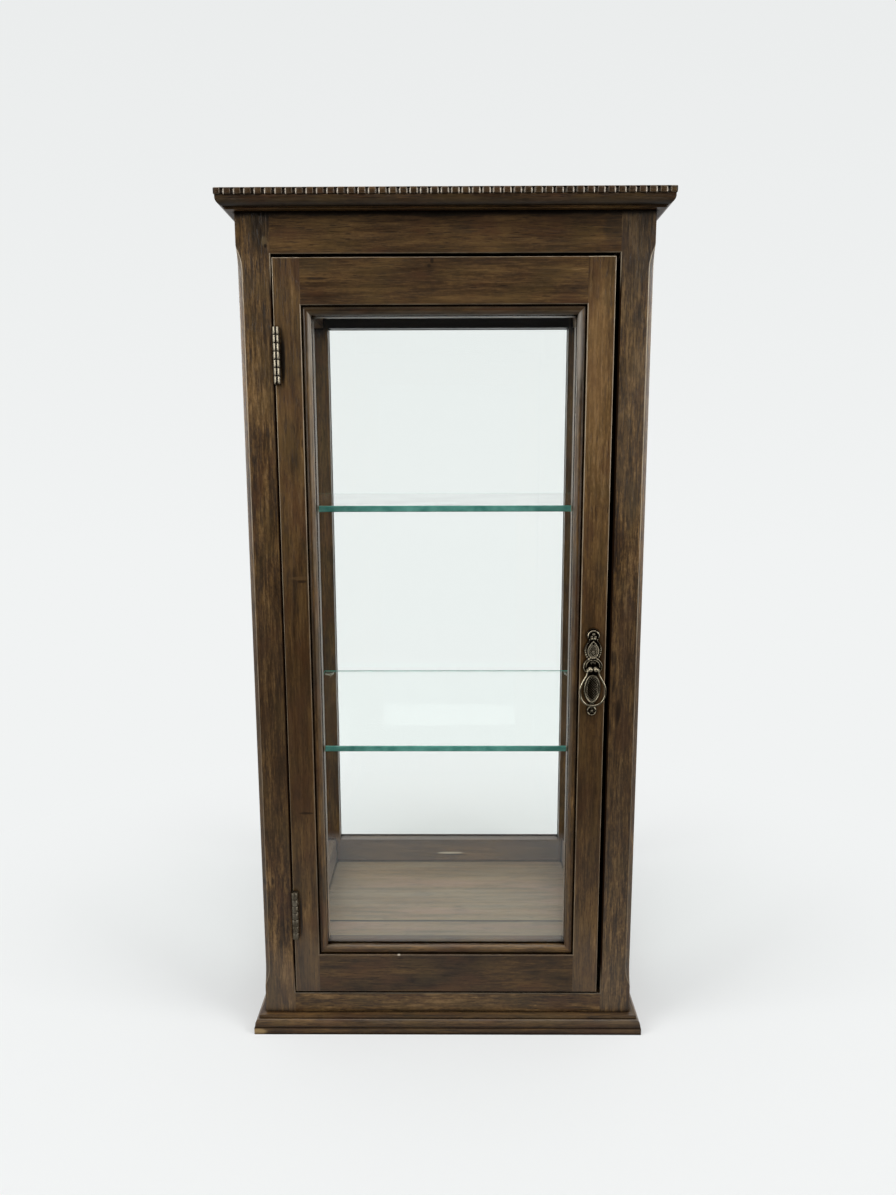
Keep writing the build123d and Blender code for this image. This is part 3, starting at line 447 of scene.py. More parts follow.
def offset_in(add, place, centre, half):
    """The way from a centre to each point, in shares of a half size."""
    return offset(add, place, centre, [1 / (h * MM) for h in half])


def largest(add, vector):
    """The largest of a vector's three lengths."""
    x, y, z = add("SeparateXYZ", add("VectorMath ABSOLUTE", vector)).outputs
    return add(LARGER, add(LARGER, x, y), z)


def sum_of(add, total, *terms):
    for term in terms:
        total = add(PLUS, total, term)
    return total


def wood_patterns(add, place, cut, grain, knots, wash):
    """The patterns of one board, from its growth rings to its pores."""
    look = bpy.context.scene.case_wood
    turn = {"X": (0, math.pi / 2, 0), "Y": (math.pi / 2, 0, 0), "Z": (0, 0, 0)}[grain]
    squeeze = {"X": (0.42, 1, 1), "Y": (1, 0.42, 1), "Z": (1, 1, 0.42)}[grain]
    board = add("Mapping", place, cut, turn)

    def noise(across, along, detail, rough=0.5):
        """Noise whose patches are `across` wide and `along` long, in metres."""
        sized = add("Mapping", {"Vector": board, "Scale": (1 / across, 1 / across, 1 / along)})
        return add("TexNoise", {"Vector": sized, "Scale": 1.0, "Detail": detail, "Roughness": rough})

    # Growth rings: a slow noise folded back and forth; they bend round the knots
    bend = heart = 0.0
    for centre in knots:
        away = add("VectorMath LENGTH", offset(add, place, centre, squeeze))
        bend = add(PLUS, bend, add(SMOOTH, away, 0.0008, 0.008, 1.0, 0.0))
        heart = add(PLUS, heart, add(SMOOTH, away, 0.0004, 0.0019, 0.75, 0.0))
    figure = noise(look.ring * 2.4, look.ring * 17, 2.0)
    return SimpleNamespace(
        rings=add("Math PINGPONG", add(PLUS, add(TIMES, figure, 7.0), add(TIMES, bend, 1.4)), 1.0),
        heart=heart,
        bands=noise(look.band, look.band * 24, 3.0, 0.6),
        streaks=noise(look.streak, look.streak * 22, 4.0, 0.72),
        fibres=noise(look.fibre, look.fibre * 12, 3.0, 0.74),
        pores=add(SMOOTH, noise(look.pore, look.pore * 18, 1.0), 0.60, 0.70, 0.0, 0.70),
        mottle=noise(0.0016, 0.0030, 3.0, 0.75),
        clouds=noise(0.022, 0.060, 3.0, 0.55),
        smoke=noise(0.010, 0.030, 3.0, 0.62),
        blotch=noise(0.015, 0.110 if wash else 0.034, 2.0),
        greys=noise(0.05, 0.22, 1.0),
        rubs=noise(0.005, 0.024, 3.0, 0.7))


def stain(add, place, wood, tone, bold, fine, pale):
    """The stain's colour: dark where the patterns add up to little, pale where they add up to much."""
    look = bpy.context.scene.case_wood
    fine = fine or bold
    parts = ((wood.rings, 0.13 * bold), (wood.bands, 0.38 * bold), (wood.streaks, 0.66 * bold),
             (wood.fibres, 0.70 * fine), (wood.mottle, 0.28 * fine), (wood.clouds, 0.72))
    level = tone + 0.485 - sum(weight for _, weight in parts) / 2
    mixed = sum_of(add, *(add(TIMES, part, weight) for part, weight in parts), level)
    # Lighter or darker places; some are painted highlights and painted light
    for centre, half, amount in pale:
        reach = add("VectorMath LENGTH", offset_in(add, place, centre, half))
        ragged = sum_of(add, reach, add(TIMES, wood.clouds, 0.8), -0.4)
        mixed = add(PLUS, mixed, add(SMOOTH, ragged, 1.2, 0.4, 0.0, amount))
    colours = add("ValToRGB", mixed)
    ramp = colours.color_ramp.elements
    ramp[0].position, ramp[0].color = 0.14, look.dark
    ramp[1].position, ramp[1].color = 0.86, look.light
    ramp.new(0.5).color = look.middle
    ramp.new(1.0).color = look.palest
    return colours


def layers_over_stain(add, place, wood, knots, cool, wash, marks):
    """What lies over the stain, each layer a share and a colour. The stain took unevenly: reddish here,
    yellower there, smoky where it pooled."""
    look = bpy.context.scene.case_wood
    layers = []
    if wash:
        woolly = add(PLUS, add(TIMES, wood.bands, 0.8), add(TIMES, wood.streaks, 0.2))
        layers.append((add(SMOOTH, woolly, 0.35, 0.65, wash * 0.7, wash * 1.3), linear("#9c886a")))
    layers += [
        (add(SMOOTH, wood.blotch, 0.50, 0.70, 0.0, 0.55), linear("#a27f68") if wash else look.reddish),
        (add(SMOOTH, wood.blotch, 0.50, 0.30, 0.0, 0.40), linear("#8b8069") if wash else look.yellowish),
        (add(SMOOTH, wood.smoke, 0.52, 0.74, 0.0, 0.50), linear("#6d6252" if wash else "#29211a"))]
    if cool:
        layers.append((add(SMOOTH, wood.greys, 0.34, 0.66, cool * 0.2, cool * 1.8), linear("#57524b")))
    layers.append((wood.pores, look.dark))
    if knots:
        layers.append((wood.heart, linear("#150e08")))
    # Marks: stains and knots, and also painted shade and painted highlights
    for centre, half, shade, strength in marks:
        reach = add("VectorMath LENGTH", offset_in(add, place, centre, half))
        ragged = sum_of(add, reach, add(TIMES, wood.smoke, 0.9), add(TIMES, wood.streaks, 0.5), -0.7)
        layers.append((add(SMOOTH, ragged, 1.05, 0.45, 0.0, strength), linear(shade)))
    return layers


def stained_wood(name, cut, grain, tone=0.0, bold=1.0, fine=None, cool=0.0, wash=0.0, wear_and_gleam=1.0, knots=(),
                 marks=(), pale=(), edges=(), bare=None):
    """Walnut-stained hardwood, rubbed and sealed with satin varnish: close streaky grain, soft growth
    rings, a few small knots, painted shade in the corners, and pale arrises that are partly worn and partly
    a painted highlight.

    `cut` says where in the log the board lies. `tone` makes it lighter, `bold` its bands stronger, `fine`
    its fibres stronger, `cool` greyer, and `wash` paler, as where hardly any stain took; one more setting
    says how much its arrises are worn and carry the painted highlight. `marks` are soft patches of colour:
    centre, half size, colour and strength; some are stains and knots, others painted shade or painted
    highlights. `pale` places are lighter, or darker for a negative amount: centre, half size and how much;
    some are painted highlights along mouldings, and on the uprights painted light, lighter higher up.
    `edges` are faces in the narrow gaps beside the door, painted dark as shade and without gloss: centre
    and half size. Saw cuts, if given, get a painted highlight on one flank and painted shade in their
    middle: the axis they follow one another along, where the first one is, their pitch and how high they
    reach. Lengths are in millimetres."""
    look = bpy.context.scene.case_wood
    material, add = new_material(name)
    place = add("TexCoord").outputs["Object"]
    wood = wood_patterns(add, place, cut, grain, knots, wash)
    colour = stain(add, place, wood, tone, bold, fine, pale)
    for share, shade in layers_over_stain(add, place, wood, knots, cool, wash, marks):
        colour = add(BLEND, {0: share, 6: colour, 7: shade})
    # Faces in the narrow gaps beside the door get painted shade: a dark colour and no gloss
    outside_gap_shade = 1.0
    for centre, half in edges:
        outside_gap_shade = add(SMOOTH, largest(add, offset_in(add, place, centre, half)), 0.9, 1.0)
        colour = add(BLEND, {0: outside_gap_shade, 6: look.edge, 7: colour})

    # Arrises get a pale colour, partly wear and partly painted highlight, more of it higher up; corners get
    # painted shade
    steepest = largest(add, add("NewGeometry").outputs["True Normal"])
    arris = add(TIMES, add(SMOOTH, steepest, 0.992, 0.955), add(SMOOTH, steepest, 0.712, 0.76))
    open_sky = add("AmbientOcclusion", {"Distance": 0.004}, samples=6).outputs["AO"]
    height = add("SeparateXYZ", place).outputs["Z"]
    wear_gleam_pattern = add(TIMES, add(SMOOTH, wood.rubs, 0.36, 0.62, 0.45, 1.0),
                 add(SMOOTH, height, 0.15, 0.52, 0.35, 1.0))
    worn_and_lit = add(TIMES, add(TIMES, arris, wear_gleam_pattern), add(TIMES, outside_gap_shade, wear_and_gleam))
    colour = add(BLEND, {0: worn_and_lit, 6: colour, 7: look.worn})
    # Painted shade in the corners that ambient occlusion finds, less of it on the arrises
    corner = add(TIMES, add(SMOOTH, open_sky, 0.86, 0.40, 0.0, 0.97),
                 add(SMOOTH, arris, 0.0, 1.0, 1.0, 1.0 - 0.7 * wear_and_gleam))
    # Saw cuts: a painted highlight on one flank of each, and painted shade in its middle
    if bare:
        lit_flank, shaded_middle = saw_cuts(add, place, *bare)
        colour = add(BLEND, {0: add(TIMES, shaded_middle, 0.62), 6: colour, 7: look.grime})
        colour = add(BLEND, {0: lit_flank, 6: colour, 7: look.bare})
        corner = add(TIMES, corner, add(SMOOTH, lit_flank, 0.0, 1.0, 1.0, 0.0))
    colour = add(BLEND, {0: corner, 6: colour, 7: look.grime})

    satin = add(SMOOTH, wood.streaks, 0.3, 0.75, look.roughness - 0.05, look.roughness + 0.10)
    relief = sum_of(add, add(TIMES, wood.streaks, 0.5), add(TIMES, wood.fibres, 0.3),
                    add(TIMES, wood.pores, -0.9))
    add("OutputMaterial", add("BsdfPrincipled", {
        "Base Color": colour, "Roughness": add(PLUS, satin, add(TIMES, corner, 0.5)),
        "Specular IOR Level": add(TIMES, add(SMOOTH, corner, 0.0, 0.5, 0.5, 0.0), outside_gap_shade),
        "Normal": add("Bump", {"Height": relief, "Strength": 0.4, "Distance": 0.0002})}))
    return material


def cut_from(index):
    """Where in the log the board with this number lies, so that no two pieces share their figure."""
    return (0.37 * index + 0.11, 0.23 * index + 0.07, 0.61 * index + 0.19)


def finish_boards(boards, first, face):
    """Dresses each node in its own cut of wood, numbered from `first`. Marks and pale places are rows of x,
    z, half size and the rest, and lie in the plane y = `face`, or that of the board's own."""
    for number, (node, settings) in enumerate(boards.items()):
        y = settings.pop("face", face)
        for key in ("marks", "pale"):
            settings[key] = [((x, y, z), half, *rest) for x, z, half, *rest in settings.get(key, ())]
        dress([node], stained_wood("walnut_stained_" + node, cut_from(first + number), **settings))


def eased(node):
    """A copy of a post whose long chamfer keeps a soft edge on both sides."""
    form = bmesh.new()
    form.from_mesh(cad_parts[node].data)
    bmesh.ops.remove_doubles(form, verts=form.verts, dist=1e-6)
    bmesh.ops.dissolve_limit(form, angle_limit=math.radians(0.03), verts=form.verts, edges=form.edges)
    outer = max(form.verts, key=lambda v: abs(v.co.x)).co.x
    front = min(form.verts, key=lambda v: v.co.y).co.y
    near = [e for e in form.edges if len(e.link_faces) == 2 and 30 < math.degrees(e.calc_face_angle(0)) < 60
            and all(abs(v.co.x - outer) < 5 * MM and abs(v.co.y - front) < 5 * MM for v in e.verts)
            and abs(e.verts[0].co.z - e.verts[1].co.z) > 1 * MM]
    bmesh.ops.bevel(form, geom=near, offset=0.55 * MM, segments=3, profile=0.5, affect="EDGES",
                    clamp_overlap=True)
    mesh = mesh_of(form)
    if "custom_normal" in mesh.attributes:
        mesh.attributes.remove(mesh.attributes["custom_normal"])
    return mesh


class DISPLAYCASE_OT_case_wood(bpy.types.Operator):
    """Finish the posts, rails, top and floor of the case"""
    bl_idname = "display_case.case_wood"
    bl_label = "Case woodwork"

    def execute(self, context):
        front = box_mm("front_post_left")[0].y
        inner = box_mm("back_bottom_rail")[0].y
        base = box_mm("base_moulding_front")[0].y
        joint, level = box_mm("floor_board_front")[1].yz
        lip = box_mm("cornice_front")[0].z + 0.6
        sill = box_mm("front_bottom_rail")[1].z
        doorway_middle, doorway_half = 301.8, 273
        # Of these colours the first is painted shade, the second goes to small dark marks and to painted
        # shadow lines, and the third is a painted reflection of the floor, greyer and paler at the feet of
        # the posts
        painted_shade, dark_mark, floor_sheen, umber, black = "#0c0805", "#1b130c", "#75685a", "#472f0e", "#15100b"
        # A painted shadow under the crown, on the posts and the top rail
        shadow_under_crown = (0, 602, (400, 30, 5.0), painted_shade, 0.9)
        boards = {
            "front_post_left": dict(
                grain="Z", tone=0.13, bold=1.7, fine=2.9, cool=0.08, knots=[(-132.2, front, 122.2)],
                # Painted light: the post is lighter higher up and darker lower down
                pale=[(-130, 500, (18, 20, 70), 0.10), (-130, 225, (60, 60, 130), -0.13)],
                # The post's face in the gap beside the door is painted dark, as shade
                edges=[((-118, front, doorway_middle), (0.8, 60, doorway_half))],
                marks=[shadow_under_crown, (-126.5, 588, (4.5, 4, 15), "#1d1712", 0.65),
                       (-121.6, 583, (2.4, 4, 4.0), "#7d6a4b", 0.5), (-121.0, 580, (1.1, 4, 1.6), dark_mark, 0.9),
                       (-138.6, 121.5, (2.6, 5, 3.6), dark_mark, 0.85), (-130, 28, (22, 12, 50), floor_sheen, 0.30),
                       (-130, 245, (60, 60, 130), umber, 0.28)]),
            "front_post_right": dict(
                grain="Z", tone=0.12, bold=1.6, fine=3.6, cool=0.16,
                # Painted light: the post is darker lower down
                pale=[(130, 215, (60, 60, 120), -0.09)],
                # The post's face in the gap beside the door is painted dark, as shade
                edges=[((118, front, doorway_middle), (1.1, 60, doorway_half))],
                marks=[shadow_under_crown, (129, 580, (18, 12, 38), "#3a332b", 0.5),
                       (130, 245, (60, 60, 130), umber, 0.28),
                       (130, 450, (22, 12, 80), "#7a6d5c", 0.20), (130, 30, (22, 12, 45), floor_sheen, 0.15),
                       (121.2, 296, (2.2, 4, 7), dark_mark, 0.7), (121.6, 274, (1.5, 4, 8), dark_mark, 0.7),
                       (125.4, 256, (1.8, 4, 12), dark_mark, 0.8), (118.6, 244, (2.0, 4, 9), dark_mark, 0.7)]),
            # Painted shade at the tops of the back posts, inside under the top
            "back_post_left": dict(
                grain="Z", tone=0.03, wear_and_gleam=0.6, face=inner, pale=[(-125, 480, (60, 60, 70), 0.10)],
                marks=[(-125, 580, (30, 50, 26), painted_shade, 0.9)]),
            "back_post_right": dict(
                grain="Z", tone=0.02, wear_and_gleam=0.6, face=inner, marks=[(125, 580, (30, 50, 26), painted_shade, 0.9)]),
            "front_top_rail": dict(
                grain="X", tone=0.09, bold=0.8, fine=1.3, wear_and_gleam=0.5,
                marks=[shadow_under_crown, (113, 590, (8, 5, 14), "#2c2620", 0.5)]),
            "front_bottom_rail": dict(
                grain="X", tone=0.25, bold=1.4, fine=2.6, cool=0.10, wear_and_gleam=0.7,
                # Painted shade along the rail's top edge, in the gap under the door
                pale=[(0, 20, (90, 30, 4), 0.05)], marks=[(0, sill, (400, 3, 1.0), painted_shade, 0.85)]),
            # Painted shade over the back top rail, which is also darker overall, inside under the top
            "back_top_rail": dict(
                grain="X", tone=-0.25, wear_and_gleam=0.1, face=inner, marks=[(0, 572, (400, 20, 30), painted_shade, 0.95)]),
            "back_bottom_rail": dict(
                grain="X", tone=0.19, cool=0.25, wear_and_gleam=0.6, face=inner,
                marks=[(0, 17.8, (17, 3, 1.4), "#c9bda6", 0.9), (3, 16.0, (17, 3, 1.0), dark_mark, 0.8)]),
            "top_board": dict(grain="X", tone=-0.05, wear_and_gleam=0.6),
            "floor_board_front": dict(
                # The pale, greyish boards are partly their own washed stain and partly a painted sheen in how
                # light they are
                grain="X", tone=0.14, bold=1.3, wash=0.58, cool=0.10, wear_and_gleam=0.3, face=joint,
                marks=[(0, level, (400, 1.6, 3), black, 0.95)]),
            "floor_board_rear": dict(
                grain="X", tone=0.13, bold=1.4, wash=0.56, wear_and_gleam=0.3, face=joint,
                marks=[(0, level, (400, 1.8, 3), black, 0.95)]),
            "cornice_front": dict(
                # A painted highlight along the cornice's lower lip and a painted shadow line just above it
                grain="X", tone=-0.11, wear_and_gleam=0.08, pale=[(0, lip, (900, 60, 1.3), 0.30)],
                marks=[(0, lip + 1.3, (900, 60, 0.9), painted_shade, 0.8)]),
            "base_moulding_front": dict(
                grain="X", tone=0.02, bold=1.2, cool=0.09, wear_and_gleam=0.2, face=base,
                # Painted highlights along two lips of the moulding, painted shadow lines below the upper one
                # and along the floor; the pale patch at the left corner is wear
                pale=[(0, 12.6, (900, 60, 0.9), 0.14), (0, 4.0, (900, 60, 0.8), 0.12)],
                marks=[(0, 5.9, (900, 60, 1.3), dark_mark, 0.5), (0, -0.4, (900, 60, 2.6), dark_mark, 0.6),
                       (-146, 2.4, (9, 4, 3.4), "#b89b6c", 0.85)]),
        }
        pairs = {
            "side_top_rail": dict(tone=-0.04, wear_and_gleam=0.5),
            "side_bottom_rail": dict(tone=0.06, cool=0.25, wear_and_gleam=0.2),
            "cornice": dict(wear_and_gleam=0.08),
            "base_moulding": dict(tone=0.03, bold=1.4, cool=0.05, wear_and_gleam=0.2),
            "side_beads": dict(grain="Z", wear_and_gleam=0.4),
        }
        for board, settings in pairs.items():
            for side in ("_left", "_right"):
                boards[board + side] = {"grain": "Y", **settings}
        boards["back_beads"] = dict(grain="Z", wear_and_gleam=0.4)
        finish_boards(boards, 0, front)
        for node in ("front_post_left", "front_post_right"):
            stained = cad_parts[node].data.materials[0]
            piece(node + "_eased", eased(node), stained, CASE, node)
        return {"FINISHED"}


class DISPLAYCASE_OT_dentils(bpy.types.Operator):
    """Cut the rows of small blocks along the crown"""
    bl_idname = "display_case.dentils"
    bl_label = "Dentil strips"

    def execute(self, context):
        pitch, gap, depth, lap = 6.8, 2.4, 1.1, 0.5
        first_board, first_seed = 40, 7
        face = box_mm("dentil_strip_front")[0].y
        sides = (("front", "X", 1), ("left", "Y", 1), ("right", "Y", -1))
        for number, (side, axis, inward) in enumerate(sides):
            def lie(along, across, up):
                return (along, across, up) if axis == "X" else (across, along, up)

            def block(run, deep, rise, ease, steps, *spot):
                return placed(rounded_block(lie(run, deep, rise), ease, steps), lie(*spot))

            node = "dentil_strip_" + side
            low, high = box_mm(node)
            (run_low, back, _), (run_high, outer, _) = lie(*low), lie(*high)
            if inward > 0:
                back, outer = outer, back
            start = run_low if axis == "X" else face
            thick, tall = abs(back - outer), high.z - low.z
            middle, centre = low.z + tall / 2, (start + run_high) / 2
            count = int((run_high - start - gap) / pitch)
            half_row = (count - 1) / 2 * pitch
            # Each strip's saw cuts get a painted highlight on one flank and painted shade in the middle
            wood = stained_wood("walnut_stained_" + node, cut_from(first_board + number), axis, tone=-0.04,
                                wear_and_gleam=0.2, bare=(axis, centre - half_row, pitch, high.z))
            in_row = outer + inward * (depth + lap) / 2
            blocks = in_rows(rounded_block(lie(pitch - gap, depth + lap, tall), 0.45, 3), wood,
                             lie(centre - half_row + pitch / 2, in_row, middle), count - 1, lie(pitch, 0, 0),
                             uneven=0.05, seed=first_seed + number)
            # The strip behind the blocks, and a lid over the saw cuts
            strip = block(run_high - run_low - 0.6, thick - depth, tall, 1.0, 4,
                          (run_low + run_high) / 2, outer + inward * (thick + depth) / 2, middle)
            lid = block(run_high - start - 2.2, thick - 0.5, 0.5, 0.2, 2,
                        centre, (back + outer) / 2 + 0.2 * inward, high.z - 0.25)
            # A wider block closes each end of the strip
            ends = [block(b - a, depth + lap, tall, 0.78, 4, (a + b) / 2, in_row, middle) for a, b in (
                (start, centre - half_row - gap / 2), (centre + half_row + gap / 2, run_high))]
            piece(node + "_cut", joined(blocks, strip, lid, *ends), wood, CASE, node, 50)
        return {"FINISHED"}


class DISPLAYCASE_OT_door_wood(bpy.types.Operator):
    """Finish the door's stiles, rails and glazing beads"""
    bl_idname = "display_case.door_wood"
    bl_label = "Door woodwork"

    def execute(self, context):
        face = box_mm("door_top_rail")[0].y
        # Of these colours the first is painted shade, the second goes to small dark marks, the third is a
        # painted reflection of the floor at the feet of the stiles, and the last a painted highlight on the
        # side beads
        painted_shade, dark_mark, floor_sheen, umber, bead_sheen = "#0c0805", "#1e130b", "#75685a", "#472f0e", "#a9a39a"
        finish_boards({
            "door_stile_hinge": dict(
                grain="Z", tone=0.10, bold=1.3, cool=0.05,
                # Painted light: the stile is lighter higher up and darker lower down
                pale=[(-105, 500, (40, 40, 78), 0.13), (-105, 358, (40, 40, 42), -0.09)],
                marks=[(-103.6, 352, (4.2, 4, 1.3), dark_mark, 0.9), (-106.2, 354.4, (8, 4, 1.8), "#6d5436", 0.6),
                       (-109.9, 316, (0.8, 4, 7), dark_mark, 0.8), (-105, 177, (6.5, 4, 1.1), dark_mark, 0.9),
                       # Painted shadows on the stile beside the upper and the lower hinge
                       (-111.6, 507, (2.0, 4, 20), painted_shade, 0.95), (-111.6, 95, (1.5, 4, 18), painted_shade, 0.8),
                       (-105, 38, (22, 12, 56), floor_sheen, 0.30), (-105, 265, (60, 60, 130), umber, 0.28)]),
            "door_stile_handle": dict(
                grain="Z", tone=0.17, bold=1.3, fine=1.6, cool=0.03, wear_and_gleam=1.4,
                # Painted light: the stile is lighter higher up and darker low down, with a paler painted
                # patch near the top
                pale=[(105, 496, (40, 40, 76), 0.16), (105, 350, (40, 40, 35), 0.06),
                      (105, 190, (40, 40, 112), -0.15)],
                # The stile's edge face in the gap by the post is painted dark, as shade
                edges=[((115.2, face + 15.5, 301.8), (0.9, 14.5, 300))],
                marks=[(104, 505, (9, 9, 62), "#a17b4e", 0.28), (103, 40, (22, 12, 54), floor_sheen, 0.22),
                       (105, 230, (60, 60, 120), umber, 0.28)]),
            "door_top_rail": dict(
                grain="X", tone=0.08, bold=1.3, wear_and_gleam=0.6,
                marks=[(-9, 570, (1.3, 4, 2.2), dark_mark, 0.85), (-11, 566.8, (1.6, 4, 1.6), dark_mark, 0.8),
                       (-87, 558.8, (9, 4, 0.8), dark_mark, 0.8), (20, 540, (60, 4, 12), "#6b5230", 0.35)]),
            "door_bottom_rail": dict(
                grain="X", tone=0.0, bold=1.2, cool=0.06, wear_and_gleam=0.6,
                marks=[(-37.3, 62, (1.6, 3, 1.0), "#d5c8b2", 0.95)]),
            "door_bead_left": dict(
                # A painted highlight along the upper part of each side bead
                grain="Z", tone=0.02, bold=1.6, wear_and_gleam=0.3, marks=[(-92, 520, (3.0, 6, 44), bead_sheen, 0.62)]),
            "door_bead_right": dict(
                grain="Z", bold=1.6, wear_and_gleam=0.2, marks=[(92, 520, (3.0, 6, 56), bead_sheen, 0.55)]),
            "door_bead_top": dict(grain="X", tone=-0.11, wear_and_gleam=0.15),
            "door_bead_bottom": dict(
                grain="X", tone=0.02, bold=1.6, wear_and_gleam=0.3, marks=[(-38, 69.5, (1.0, 8, 2.4), dark_mark, 0.9)]),
        }, 60, face)
        return {"FINISHED"}


# ---------------------------------------------------------------- glass
def float_glass(name, tint, ground):
    """Float glass, polished by the molten tin it set on: clear faces. A ground edge shows the green of
    its iron, since light crosses the whole width of the sheet to reach it."""
    look = bpy.context.scene.case_glass
    material, add = new_material(name)
    place = add("TexCoord").outputs["Object"]
    # Faint ripple of the sheet, a few centimetres from crest to crest
    ripple = add("TexNoise", {"Vector": place, "Scale": 26.0, "Detail": 1.0})
    bump = add("Bump", {"Height": ripple, "Strength": 0.05, "Distance": 0.001})
    face = add("BsdfPrincipled", {"Base Color": tint, "Roughness": 0.0, "IOR": look.ior,
                                  "Transmission Weight": 1.0, "Normal": bump})
    path = add("LightPath").outputs
    passing = add(LARGER, path["Is Shadow Ray"], path["Is Diffuse Ray"])
    surface = add("MixShader", passing, face, add("BsdfTransparent", {"Color": tint}))
    if ground:
        upward = add("SeparateXYZ", add("NewGeometry").outputs["True Normal"]).outputs["Z"]
        on_edge = add("Math LESS_THAN", add("Math ABSOLUTE", upward), 0.95)
        chips = add("TexNoise", {"Vector": place, "Scale": 90.0, "Detail": 3.0})
        deep = add(RAMP, chips, 0.35, 0.7, 0.0, 0.8)
        colour = add(BLEND, {0: deep, 6: look.edge, 7: look.depth})
        edge = add("BsdfPrincipled", {"Base Color": colour, "Roughness": 0.18, "IOR": look.ior})
        surface = add("MixShader", on_edge, surface, edge)
    add("OutputMaterial", surface)
    return material


class DISPLAYCASE_OT_glass(bpy.types.Operator):
    """Glaze the door, sides and back, and finish the shelves"""
    bl_idname = "display_case.glass"
    bl_label = "Panes and shelves"

    def execute(self, context):
        look = context.scene.case_glass
        dress(["door_glass", "side_glass_left", "side_glass_right", "back_glass"],
              float_glass("float_glass_pane", look.tint, False))
        dress(["shelf_upper", "shelf_lower"], float_glass("float_glass_shelf", look.shelf, True))
        return {"FINISHED"}


# ---------------------------------------------------------------- metal
def aged_metal(name, bright, dull, patch_size, rough, cover, pit_depth=1.2, relief=None):
    """Metal that has been handled for years: `dull` film in patches and hollows, bright where it rubs.
    `patch_size` is in metres and `cover` says how thick the film lies in its patches; `pit_depth` is how
    wide a hollow may be and stay dark. `relief` is two places along Y, between which the film gives way
    to bare metal. Both are in millimetres."""
    material, add = new_material(name)
    place = add("TexCoord").outputs["Object"]
    patch = add("TexNoise", {"Vector": place, "Scale": 1 / patch_size, "Detail": 5.0, "Roughness": 0.65})
    sky = add("AmbientOcclusion", {"Distance": pit_depth * MM}, samples=6).outputs["AO"]
    film = add(LARGER, add(RAMP, patch, 0.35, 0.7, 0.0, cover), add(RAMP, sky, 0.35, 0.85, 1.0, 0.0))
    if relief:
        depth = add("SeparateXYZ", place).outputs["Y"]
        film = add(LARGER, film, add(SMOOTH, depth, relief[1] * MM, relief[0] * MM))
    add("OutputMaterial", add("BsdfPrincipled", {
        "Base Color": add(BLEND, {0: film, 6: bright, 7: dull}), "Metallic": 1.0,
        "Roughness": add(RAMP, film, 0.0, 1.0, rough, rough + 0.2),
        "Normal": add("Bump", {"Height": patch, "Strength": 0.2, "Distance": 0.0001})}))
    return material


def moulded_plastic(name, colour, shade):
    """Injection-moulded polypropylene with a fine spark-eroded texture, which softens its shine."""
    material, add = new_material(name)
    place = add("TexCoord").outputs["Object"]
    grit = add("TexNoise", {"Vector": place, "Scale": 2500.0, "Detail": 2.0})
    cloud = add("TexNoise", {"Vector": place, "Scale": 120.0, "Detail": 2.0})
    add("OutputMaterial", add("BsdfPrincipled", {
        "Base Color": add(BLEND, {0: cloud, 6: colour, 7: shade}), "Roughness": 0.5,
        "Normal": add("Bump", {"Height": grit, "Strength": 0.3, "Distance": 0.00005})}))
    return material


def zinc_plated(name):
    """Bright zinc over steel: cool grey with a faint bloom of white corrosion."""
    return aged_metal(name, bpy.context.scene.case_metal.steel, linear("#77776f"), 0.003, 0.30, 0.4)


def slotted_screw(head, depth, shank, length):
    """Countersunk screw pointing down -Z with its slotted face at the origin; millimetres."""
    screw = linked(lathe([(0, 0), (head - 0.12, 0), (head, -0.12), (shank, -depth), (shank, 0.8 - length),
                          (0, -length)], 32))
    cutter = linked(rounded_block((2 * head + 1, 0.55, 0.9), 0.05, 1))
    cut = screw.modifiers.new("slot", "BOOLEAN")
    cut.operation = "DIFFERENCE"
    cut.object = cutter
    mesh = settled(screw)
    bpy.data.objects.remove(cutter)
    return mesh


def rolled_knuckle(side, radius, bore, leaf, tail, tall):
    """One knuckle rolled from the end of a leaf, its axis on Z through the origin; `side` is the way to
    its leaf and `tail` how far back the roll's straight end reaches; millimetres."""
    degrees = range(12, 301, 12)
    pairs = [((side * radius, tail), (side * (radius - leaf), tail)),
             ((side * radius, 0.0), (side * bore, 0.0)),
             *zip(arc(0, 0, side * radius, -radius, degrees), arc(0, 0, side * bore, -bore, degrees))]
    form = bmesh.new()
    low, high = [[[form.verts.new(metres(x, y, z)) for x, y in pair] for pair in pairs]
                 for z in (-tall / 2, tall / 2)]
    for (a, b), (c, d), (e, f), (g, h) in zip(low, low[1:], high, high[1:]):
        for corners in ((a, c, g, e), (b, d, h, f), (a, c, d, b), (e, g, h, f)):
            form.faces.new(corners)
    for end in (0, -1):
        form.faces.new([low[end][0], low[end][1], high[end][1], high[end][0]])
    bmesh.ops.recalc_face_normals(form, faces=form.faces)
    rims = [e for e in form.edges if e.calc_face_angle(0) > math.radians(50) and e.calc_length() < 1.2 * MM
            and abs(abs(e.verts[0].co.z) - tall / 2 * MM) < 1e-7
            and all(v.co.xy.length > (radius - 0.1) * MM for v in e.verts)]
    bmesh.ops.bevel(form, geom=rims, offset=0.22 * MM, segments=2, profile=0.5, affect="EDGES")
    return mesh_of(form)


